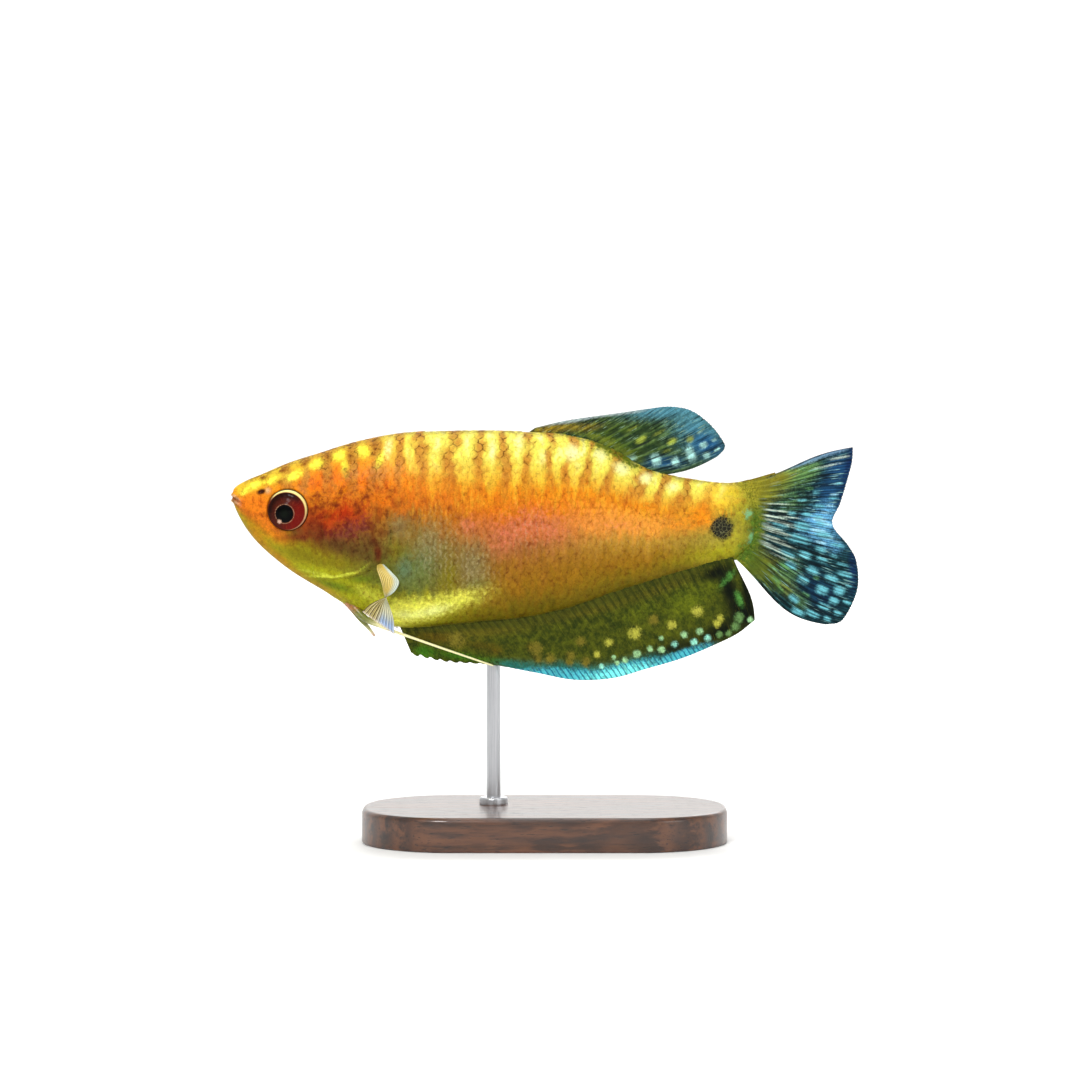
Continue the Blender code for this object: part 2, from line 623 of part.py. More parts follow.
def make_stand():
    """A rounded base with a rod that rises beside the anal fin into the trunk."""
    quarter = np.linspace(0.0, math.pi / 2, 7)
    outline = []
    corners = ((1, 1, 0.0), (-1, 1, math.pi / 2), (-1, -1, math.pi), (1, -1, 1.5 * math.pi))
    for sx, sy, turn in corners:
        for angle in quarter + turn:
            outline.append((sx * (BASE_LENGTH / 2 - BASE_CORNER) + BASE_CORNER * math.cos(angle),
                            sy * (BASE_WIDTH / 2 - BASE_CORNER) + BASE_CORNER * math.sin(angle)))
    curve = bpy.data.curves.new("stand_base", "CURVE")
    curve.dimensions = "2D"
    curve.fill_mode = "BOTH"
    curve.extrude = BASE_THICKNESS / 2 * MM
    spline = curve.splines.new("POLY")
    spline.points.add(len(outline) - 1)
    for point, (x, y) in zip(spline.points, outline):
        point.co = (x * MM, y * MM, 0.0, 1.0)
    spline.use_cyclic_u = True
    base = bpy.data.objects.new("stand_base", curve)
    MODEL.objects.link(base)
    base.location = (0.0, 0.0, BASE_THICKNESS / 2 * MM)
    base = freeze(base)
    bevel = base.modifiers.new("rounded edge", "BEVEL")
    bevel.width = BASE_BEVEL * MM
    bevel.segments = 2
    bevel.limit_method = "ANGLE"
    bevel.angle_limit = math.radians(50.0)

    bottom = BASE_THICKNESS + GAP
    top = LINE_Z + ROD_TOP
    bpy.ops.mesh.primitive_cylinder_add(
        vertices=ROD_SIDES, radius=ROD_RADIUS * MM, depth=(top - bottom) * MM,
        location=((SNOUT_X + ROD_X) * MM, ROD_Y * MM, (top + bottom) / 2 * MM))
    move_to(bpy.context.active_object, MODEL).name = "stand_rod"


def paint(name, colour, roughness, metallic=0.0):
    """Give a node its own material."""
    material = bpy.data.materials.new(name + "_material")
    material.use_nodes = True
    shader = material.node_tree.nodes["Principled BSDF"]
    shader.inputs["Base Color"].default_value = (*colour, 1.0)
    shader.inputs["Roughness"].default_value = roughness
    shader.inputs["Metallic"].default_value = metallic
    node = bpy.data.objects[name]
    node.data.materials.clear()
    node.data.materials.append(material)
    node.data.shade_smooth()
    node.data.set_sharp_from_angle(angle=math.radians(40.0))


SKIN_CLEARANCE = hide_cutter(loft("skin_clearance", GAP))
make_head()
make_jaw()
for SIDE, WORD, ROOT, THREAD in ((-1, "left", PELVIC_LEFT, THREAD_LEFT),
                                 (1, "right", PELVIC_RIGHT, THREAD_RIGHT)):
    make_gill_cover(SIDE, "gill_cover_" + WORD)
    make_eye(SIDE, "eye_" + WORD)
    make_pectoral(SIDE, "pectoral_fin_" + WORD)
    make_pelvic(WORD, ROOT, THREAD)
make_torso()
make_tail_stalk()
make_dorsal_fin()
make_anal_fin()
make_tail_fin()
make_stand()

paint("head", (0.75, 0.30, 0.05), 0.35)
paint("lower_jaw", (0.80, 0.50, 0.30), 0.35)
paint("torso", (0.78, 0.50, 0.06), 0.32)
paint("tail_stalk", (0.60, 0.42, 0.05), 0.32)
paint("dorsal_fin", (0.30, 0.33, 0.08), 0.4)
paint("anal_fin", (0.12, 0.16, 0.05), 0.4)
paint("tail_fin", (0.03, 0.10, 0.15), 0.4)
for WORD in ("left", "right"):
    paint("gill_cover_" + WORD, (0.55, 0.45, 0.06), 0.3)
    paint("eye_" + WORD, (0.25, 0.05, 0.02), 0.08)
    paint("pectoral_fin_" + WORD, (0.85, 0.62, 0.30), 0.4)
    paint("pelvic_fin_" + WORD, (0.60, 0.52, 0.20), 0.45)
    paint("pelvic_thread_" + WORD, (0.85, 0.75, 0.40), 0.45)
paint("stand_base", (0.05, 0.035, 0.025), 0.4)
paint("stand_rod", (0.62, 0.62, 0.63), 0.25, 1.0)
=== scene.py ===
import math

import bmesh
import bpy
import numpy as np
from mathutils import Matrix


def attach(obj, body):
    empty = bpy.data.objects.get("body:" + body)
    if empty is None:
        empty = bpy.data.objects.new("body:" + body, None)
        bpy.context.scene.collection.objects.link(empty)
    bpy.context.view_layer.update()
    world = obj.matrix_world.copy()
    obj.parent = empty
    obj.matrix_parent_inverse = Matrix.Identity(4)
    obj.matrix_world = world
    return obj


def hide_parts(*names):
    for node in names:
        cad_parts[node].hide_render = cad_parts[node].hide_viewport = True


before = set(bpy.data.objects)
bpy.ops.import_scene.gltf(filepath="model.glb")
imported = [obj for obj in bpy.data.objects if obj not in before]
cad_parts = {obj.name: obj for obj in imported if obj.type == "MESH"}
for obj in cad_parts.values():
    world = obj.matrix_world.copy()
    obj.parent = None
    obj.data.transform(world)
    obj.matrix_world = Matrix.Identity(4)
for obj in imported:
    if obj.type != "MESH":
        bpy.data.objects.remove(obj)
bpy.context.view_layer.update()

# The fish's own frame, in mm: x from the tip of the snout, y to its right, z up from the line
# through the gill cover. The left flank, y below 0, faces the camera.
fish = {"snoutX": -55.0, "lineZ": 52.8, "mm": 0.001}

body = {
    # x, back, belly, half width, and how boxy the section is (1 is an ellipse)
    "stations": [
        (0.0, 7.7, 7.7, 0.0, 1.0), (0.35, 9.0, 6.2, 1.3, 1.0), (2.7, 10.4, 2.1, 2.5, 1.0),
        (5.6, 11.6, -1.3, 3.4, 0.95), (10.3, 13.6, -5.2, 4.75, 0.9), (15.6, 15.4, -8.6, 5.9, 0.95),
        (22.0, 17.4, -12.4, 6.8, 1.0), (29.8, 18.9, -15.4, 7.3, 1.05), (41.0, 19.35, -14.7, 7.0, 1.1),
        (51.0, 19.15, -13.8, 6.3, 1.1), (59.5, 18.5, -12.0, 5.4, 1.1), (66.5, 16.4, -9.6, 4.5, 1.1),
        (73.5, 12.5, -7.4, 3.5, 1.05), (80.5, 10.95, -5.3, 2.6, 1.0), (88.0, 10.25, -3.7, 1.9, 1.0),
        (96.0, 12.2, -4.4, 0.8, 1.0)],
    "widestAboveMiddle": 0.12,           # share of the half depth
    "tailBase": [(90.4, 10.7), (92.2, 7.8), (92.9, 3.6), (92.1, -0.6), (89.6, -4.2)],
    "stalkEnd": (92.9, 3.6, 0.048),      # its rearmost x and z, and how it curves away from there
    "mouthLine": [(0.0, 7.55), (1.5, 6.9), (2.9, 5.3), (4.8, 2.5)],
}


def smooth(t):  # 0 below 0, 1 above 1, and an S between
    t = np.clip(t, 0.0, 1.0)
    return t * t * (3.0 - 2.0 * t)


def curve(knots, perSpan=24):  # Catmull-Rom points through the knots
    knots = np.asarray(knots, float)
    padded = np.vstack([2 * knots[0] - knots[1], knots, 2 * knots[-1] - knots[-2]])
    spans = len(knots) - 1
    u = np.linspace(0.0, spans, spans * perSpan + 1)
    span = np.minimum(u.astype(int), spans - 1)
    t = (u - span)[:, None]
    a, b, c, d = (padded[span + k] for k in range(4))
    return 0.5 * (2 * b + (c - a) * t + (2 * a - 5 * b + 4 * c - d) * t ** 2
                  + (3 * b - 3 * c + d - a) * t ** 3)


def fullTurn(count):  # even angles once round
    return np.linspace(0.0, 2 * math.pi, count, endpoint=False)


def runAlong(points):  # each point's distance from the first, measured along the row
    return np.concatenate([[0.0], np.cumsum(np.linalg.norm(np.diff(points, axis=0), axis=1))])


def evenly(points, count):  # the same curve at even steps of its length
    run = runAlong(points)
    at = np.linspace(0.0, run[-1], count)
    return np.column_stack([np.interp(at, run, column) for column in points.T])


bodyRows = curve(body["stations"], 12)
bodyRows[:, 0] = np.maximum.accumulate(bodyRows[:, 0])
backLine = bodyRows[:, (0, 1)]
bellyLine = bodyRows[:, (0, 2)]


def bodyPoint(x, angle, offset=0.0):
    # An ellipse-like section: y is the half width by the sine to the power boxy, z the middle
    # plus the half depth by the cosine, lifted a little at the sides. Angle 0 is the back and
    # pi the belly; the fish's right side has angles up to pi. Offset moves the point outwards.
    back, belly, halfWidth, boxy = (np.interp(x, bodyRows[:, 0], bodyRows[:, k]) for k in (1, 2, 3, 4))
    halfDepth = np.maximum((back - belly) / 2 + offset, 0.02)
    sine = np.sin(angle)
    y = np.maximum(halfWidth + offset, 0.02) * np.sign(sine) * np.abs(sine) ** boxy
    lift = body["widestAboveMiddle"] * halfDepth * sine ** 2 * np.clip(x / 30.0, 0, 1)
    z = (back + belly) / 2 + halfDepth * np.cos(angle) + lift
    return np.stack(np.broadcast_arrays(x, y, z), axis=-1)


def backToBelly(x, z):  # 0 along the back and 1 along the belly
    back = np.interp(x, *backLine.T)
    belly = np.interp(x, *bellyLine.T)
    return np.clip((back - z) / np.maximum(back - belly, 0.5), 0.0, 1.0)


def lineDistance(x, z, line):  # distance from each point to a row of short straight steps
    best = np.full(np.shape(x), 1e9)
    for (ax, az), (bx, bz) in zip(line[:-1], line[1:]):
        dx, dz = bx - ax, bz - az
        t = np.clip(((x - ax) * dx + (z - az) * dz) / (dx * dx + dz * dz), 0.0, 1.0)
        best = np.minimum(best, (x - ax - t * dx) ** 2 + (z - az - t * dz) ** 2)
    return np.sqrt(best)


def insideOutline(x, z, line):  # odd number of crossings towards +x
    inside = np.zeros(np.shape(x), bool)
    for (ax, az), (bx, bz) in zip(line, np.roll(line, -1, axis=0)):
        if az != bz:
            inside ^= ((az > z) != (bz > z)) & (x < ax + (z - az) / (bz - az) * (bx - ax))
    return inside


def gridFaces(rows, columns, wrap=False, start=0):  # quads of a grid numbered row by row
    i = np.arange(rows - 1)[:, None]
    j = np.arange(columns if wrap else columns - 1)[None, :]
    k = (j + 1) % columns
    return np.stack([start + i * columns + j, start + i * columns + k,
                     start + (i + 1) * columns + k, start + (i + 1) * columns + j], -1).reshape(-1, 4)


def fanFaces(centre, ring):  # triangles from one point to a closed ring
    return np.stack([np.full(len(ring), centre), ring, np.roll(ring, -1)], -1)


def closedRings(rings, ends):
    # Closed rings row by row, with a fan from the first and from the last to its own end point
    rows, sides = rings.shape[:2]
    count = rows * sides
    first = np.arange(sides)
    return np.vstack([rings.reshape(-1, 3), ends]), [
        gridFaces(rows, sides, True), fanFaces(count, first), fanFaces(count + 1, first + count - sides)]


def newPiece(name, points, faces, finish, marks=None, uvs=None):
    # One closed mesh from points in mm and arrays of faces, with its marks as point attributes
    places = (points.reshape(-1, 3) + (fish["snoutX"], 0.0, fish["lineZ"])) * fish["mm"]
    mesh = bpy.data.meshes.new(name)
    mesh.vertices.add(len(places))
    mesh.vertices.foreach_set("co", places.astype(np.float32).ravel())
    corners = np.concatenate([part.ravel() for part in faces])
    sizes = np.concatenate([np.full(len(part), part.shape[1]) for part in faces])
    mesh.loops.add(len(corners))
    mesh.loops.foreach_set("vertex_index", corners.astype(np.int32))
    mesh.polygons.add(len(sizes))
    mesh.polygons.foreach_set("loop_start", (np.cumsum(sizes) - sizes).astype(np.int32))
    mesh.update(calc_edges=True)
    for key, values in (marks or {}).items():
        mesh.attributes.new(key, "FLOAT", "POINT").data.foreach_set(
            "value", np.asarray(values, np.float32).ravel())
    for key, values in (uvs or {}).items():
        layer = mesh.uv_layers.new(name=key)
        layer.uv.foreach_set("vector", values[corners].astype(np.float32).ravel())
    bm = bmesh.new()
    bm.from_mesh(mesh)
    bmesh.ops.recalc_face_normals(bm, faces=bm.faces)
    bm.to_mesh(mesh)
    bm.free()
    mesh.shade_smooth()
    mesh.materials.append(finish)
    piece = bpy.data.objects.new(name, mesh)
    bpy.context.scene.collection.objects.link(piece)
    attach(piece, "root")
    print(f"{name}: {sum(len(p.vertices) - 2 for p in mesh.polygons)} triangles")
    return piece


def softMask(x, z, places, power=2.0, edge=None):
    # Joins soft ellipses: each falls off from its middle as a bell, or over a narrow edge.
    # A place is x, z, half length, half height, turn in degrees, strength.
    clear = np.ones(np.shape(x))
    for px, pz, rx, rz, turn, strength in places:
        cosine, sine = math.cos(math.radians(turn)), math.sin(math.radians(turn))
        a = ((x - px) * cosine + (z - pz) * sine) / rx
        b = ((z - pz) * cosine - (x - px) * sine) / rz
        reach = (np.abs(a) ** power + np.abs(b) ** power) ** (1.0 / power)
        fall = np.exp(-1.1 * reach ** 2) if edge is None else smooth((1.0 + edge - reach) / (2 * edge))
        clear *= 1.0 - strength * fall
    return 1.0 - clear


def washMarks(x, z, washes):
    return {key: softMask(x, z, wash["at"], wash.get("power", 2.0), wash.get("edge"))
            for key, wash in washes.items()}


def hue(red, green, blue):  # a colour as the eye sees it on a screen, made linear
    return tuple(c / 12.92 if c <= 0.04045 else ((c + 0.055) / 1.055) ** 2.4
                 for c in (red, green, blue)) + (1.0,)


class Value:  # a socket whose operators add Math nodes
    def __init__(self, finish, socket):
        self.finish = finish
        self.socket = socket

    def calc(self, operation, *values):
        return self.finish.node("ShaderNodeMath", {"operation": operation}, dict(enumerate(values)))

    def __add__(self, other):
        return self.calc("ADD", self, other)

    def __radd__(self, other):
        return self.calc("ADD", other, self)

    def __sub__(self, other):
        return self.calc("SUBTRACT", self, other)

    def __rsub__(self, other):
        return self.calc("SUBTRACT", other, self)

    def __mul__(self, other):
        return self.calc("MULTIPLY", self, other)

    def __rmul__(self, other):
        return self.calc("MULTIPLY", other, self)

    def __truediv__(self, other):
        return self.calc("DIVIDE", self, other)

    def __rtruediv__(self, other):
        return self.calc("DIVIDE", other, self)

    def __pow__(self, other):
        return self.calc("POWER", self, other)

    def absolute(self):
        return self.calc("ABSOLUTE", self)

    def cosine(self):
        return self.calc("COSINE", self)

    def ripple(self):  # a cosine that comes round once in each unit
        return (self * (2 * math.pi)).cosine()

    def ramp(self, low, high, start=0.0, end=1.0):  # an S from start at low to end at high
        return self.finish.node("ShaderNodeMapRange", {"interpolation_type": "SMOOTHSTEP"}, {
            "Value": self, "From Min": low, "From Max": high, "To Min": start, "To Max": end})


class Finish:  # a material under construction
    def __init__(self, name, **constants):
        self.material = bpy.data.materials.new(name)
        self.material.use_nodes = True
        self.tree = self.material.node_tree
        self.shader = self.tree.nodes["Principled BSDF"]
        for key, value in constants.items():
            self.shader.inputs[key.replace("_", " ")].default_value = value

    def node(self, kind, settings=None, inputs=None, output=0):
        made = self.tree.nodes.new(kind)
        for key, value in (settings or {}).items():
            if key == "stops":
                while len(made.color_ramp.elements) < len(value):
                    made.color_ramp.elements.new(1.0)
                for stop, (place, colour) in zip(made.color_ramp.elements, value):
                    stop.position = place
                    stop.color = colour
            else:
                setattr(made, key, value)
        for key, value in (inputs or {}).items():
            if isinstance(value, Value):
                self.tree.links.new(value.socket, made.inputs[key])
            else:
                made.inputs[key].default_value = value
        return Value(self, made.outputs[output])

    def mix(self, first, second, factor):
        return self.node("ShaderNodeMix", {"data_type": "RGBA"}, {0: factor, 6: first, 7: second}, 2)

    def tint(self, colour, amount):  # makes a colour lighter or darker by a value
        return self.node("ShaderNodeVectorMath", {"operation": "SCALE"}, {0: colour, "Scale": amount})

    def place(self):  # Object coordinates in the fish's frame, in mm
        found = self.node("ShaderNodeTexCoord", output="Object")
        return self.node("ShaderNodeVectorMath", {"operation": "MULTIPLY_ADD"}, {
            0: found, 1: (1000.0,) * 3, 2: (-fish["snoutX"], 0.0, -fish["lineZ"])})

    def split(self, vector):
        return [self.node("ShaderNodeSeparateXYZ", None, {0: vector}, k) for k in range(3)]

    def join(self, x, y, z=0.0):
        return self.node("ShaderNodeCombineXYZ", None, {0: x, 1: y, 2: z})

    def stretch(self, vector, scale):
        return self.node("ShaderNodeVectorMath", {"operation": "MULTIPLY"}, {0: vector, 1: scale})

    def noise(self, vector, scale, detail=2.0, roughness=0.5):
        return self.node("ShaderNodeTexNoise", None, {
            "Vector": vector, "Scale": scale, "Detail": detail, "Roughness": roughness})

    def cells(self, vector, scale, feature="F1"):
        return self.node("ShaderNodeTexVoronoi", {"feature": feature}, {"Vector": vector, "Scale": scale})

    def mark(self, name):
        return self.node("ShaderNodeAttribute", {"attribute_name": name}, output="Fac")

    def washes(self, colour, washes, grain):  # lays each wash over the colour, its edge broken by a grain
        for key, wash in washes.items():
            mask = self.mark(key)
            mask = mask + (grain - 0.5) * wash.get("grain", 0.35) * (mask * (1.0 - mask) * 4.0)
            colour = self.mix(colour, hue(*wash["colour"]), mask.ramp(0.02, 0.98))
        return colour

    def wear(self, colour=None, roughness=None, height=None, distance=0.0001, strength=1.0, alpha=None):
        for key, value in (("Base Color", colour), ("Roughness", roughness), ("Alpha", alpha)):
            if value is not None:
                self.tree.links.new(value.socket, self.shader.inputs[key])
        if height is not None:
            bump = self.node("ShaderNodeBump", None, {
                "Height": height, "Distance": distance, "Strength": strength})
            self.tree.links.new(bump.socket, self.shader.inputs["Normal"])
        return self.material


# Camera, light and floor
view = {
    "aim": (-0.0008, 0.0, 0.0528), "across": 0.1892, "lens": 120.0, "sensor": 36.0, "elevation": 2.5,
    "floorRadius": 1.3, "wallRadius": 0.5, "wallHeight": 1.4, "floorSides": 96, "floorRings": 12,
    "floorColour": (0.93, 0.93, 0.925), "floorGrain": (0.95, 0.95, 0.945), "skyStrength": 0.42,
    # Each light's name, its place, the point that it faces, its width and height, and its watts
    "lights": [("key", (-0.28, -0.75, 0.62), (0.0, 0.0, 0.05), (0.26, 0.2), 5.2),
               ("fill", (0.65, -0.6, 0.30), (0.0, 0.0, 0.05), (0.4, 0.4), 1.5),
               ("top", (0.05, 0.0, 0.95), (0.0, 0.0, 0.05), (0.6, 0.3), 2.6),
               ("back", (0.1, 0.8, 0.5), (0.0, 0.0, 0.05), (0.6, 0.4), 2.2),
               ("wall", (0.0, 0.45, 1.25), (0.0, 1.8, 0.35), (1.6, 0.5), 20.0)],
}


def addCamera():
    data = bpy.data.cameras.new("camera")
    data.lens = view["lens"]
    data.sensor_width = view["sensor"]
    data.clip_start = 0.01
    camera = bpy.data.objects.new("camera", data)
    bpy.context.scene.collection.objects.link(camera)
    distance = view["across"] * view["lens"] / view["sensor"]
    tilt = math.radians(view["elevation"])
    ax, ay, az = view["aim"]
    camera.location = (ax, ay - distance * math.cos(tilt), az + distance * math.sin(tilt))
    camera.rotation_euler = (math.pi / 2 - tilt, 0.0, 0.0)
    bpy.context.scene.camera = camera


def addLight(name, place, aim, size, watts):
    data = bpy.data.lights.new(name, "AREA")
    data.shape = "RECTANGLE"
    data.size, data.size_y = size
    data.energy = watts
    light = bpy.data.objects.new(name, data)
    light.location = place
    direction = np.subtract(aim, place)
    flat = math.hypot(direction[0], direction[1])
    light.rotation_euler = (math.atan2(flat, -direction[2]), 0.0, math.atan2(-direction[0], direction[1]))
    bpy.context.scene.collection.objects.link(light)


def addFloor():
    # A round floor whose rim sweeps up into a wall: a profile of radius and height, turned
    sides, rings = view["floorSides"], view["floorRings"]
    flat, wall = view["floorRadius"], view["wallRadius"]
    turn = fullTurn(sides)[None, :]
    bend = np.linspace(0.0, math.pi / 2, rings)[1:]
    radius = np.concatenate([np.linspace(0.02, flat, rings), flat + wall * np.sin(bend), [flat + wall]])
    height = np.concatenate([np.zeros(rings), wall * (1 - np.cos(bend)), [view["wallHeight"]]])
    radius, height = radius[:, None], height[:, None]
    points = np.stack(np.broadcast_arrays(radius * np.cos(turn), radius * np.sin(turn), height), -1)
    mesh = bpy.data.meshes.new("floor")
    cells = gridFaces(len(radius), sides, True)
    hub = fanFaces(len(radius) * sides, np.arange(sides)[::-1])
    mesh.from_pydata(np.vstack([points.reshape(-1, 3), [[0.0, 0.0, 0.0]]]), [],
                     cells.tolist() + hub.tolist())
    mesh.shade_smooth()
    finish = Finish("paper", Roughness=0.7)
    grain = finish.noise(finish.place(), 0.02, 3.0)
    finish.wear(finish.mix(hue(*view["floorColour"]), hue(*view["floorGrain"]), grain))
    mesh.materials.append(finish.material)
    floor = bpy.data.objects.new("floor", mesh)
    bpy.context.scene.collection.objects.link(floor)


def addStudio():
    scene = bpy.context.scene
    scene.view_settings.view_transform = "Standard"
    world = bpy.data.worlds.new("studio")
    scene.world = world
    world.use_nodes = True
    sky = world.node_tree.nodes["Background"].inputs
    sky["Color"].default_value = (1.0, 1.0, 1.0, 1.0)
    sky["Strength"].default_value = view["skyStrength"]
    for light in view["lights"]:
        addLight(*light)


addCamera()
addFloor()
addStudio()
print("camera, floor and lights")

# Relief that the skin and the scales share
gillCover = {
    "outline": [(22.3, 10.4), (25.6, 8.0), (28.0, 3.2), (28.2, -0.2), (26.6, -3.4), (23.9, -5.3),
                (20.6, -6.3), (16.6, -6.5), (14.6, -5.4), (15.2, -1.8), (16.2, 2.6), (18.4, 7.2)],
    "cheekEdge": [(22.0, 10.2), (18.6, 7.0), (16.6, 2.6), (16.1, -1.8), (14.3, -5.8)],
    "swell": 0.42, "cheekGroove": 0.16, "grooveWidth": 0.4,
    "rimWidth": (2.6, 2.25),             # in front, and how much less it is behind and below
    "behind": (16.0, 6.0), "below": (-2.0, 2.0),   # where the rim starts to be steep, and over what length
}
coverKnots = np.array(gillCover["outline"])
coverEdge = evenly(curve(np.vstack([coverKnots[-2:], coverKnots, coverKnots[:2]]), 12)[24:-12], 90)[:-1]
cheekEdge = evenly(curve(gillCover["cheekEdge"]), 30)


def relief(x, z):
    # The gill cover's height over the body: a plateau whose rim is steep behind and below and
    # soft in front, less a groove along the cheek's edge
    reach = lineDistance(x, z, np.vstack([coverEdge, coverEdge[:1]]))
    reach = np.where(insideOutline(x, z, coverEdge), reach, -reach)
    behind = smooth((x - gillCover["behind"][0]) / gillCover["behind"][1])
    below = smooth((gillCover["below"][0] - z) / gillCover["below"][1])
    width = gillCover["rimWidth"][0] - gillCover["rimWidth"][1] * np.maximum(behind, below)
    high = gillCover["swell"] * smooth(reach / width + 0.35)
    groove = np.exp(-(lineDistance(x, z, cheekEdge) / gillCover["grooveWidth"]) ** 2)
    return high - gillCover["cheekGroove"] * groove


eye = {
    "x": 10.3, "z": 5.4, "radius": 3.65, "halfDepth": 1.9, "middleY": 3.95, "turn": 12.0,
    "pupil": (-0.45, -0.62, 1.62),       # off the eye's middle by x and z, and its radius
    "iris": (-0.18, -0.17, 3.22),
    "gleam": (-1.35, -1.95),
    "socketRadius": 3.72, "socketDepth": 1.7, "rim": 0.13,
    "rings": 44, "sides": 96,
    "dish": (0.20, 2.2, 0.75), "ring": (0.07, 3.3, 0.2),   # depth or height, radius and width
}

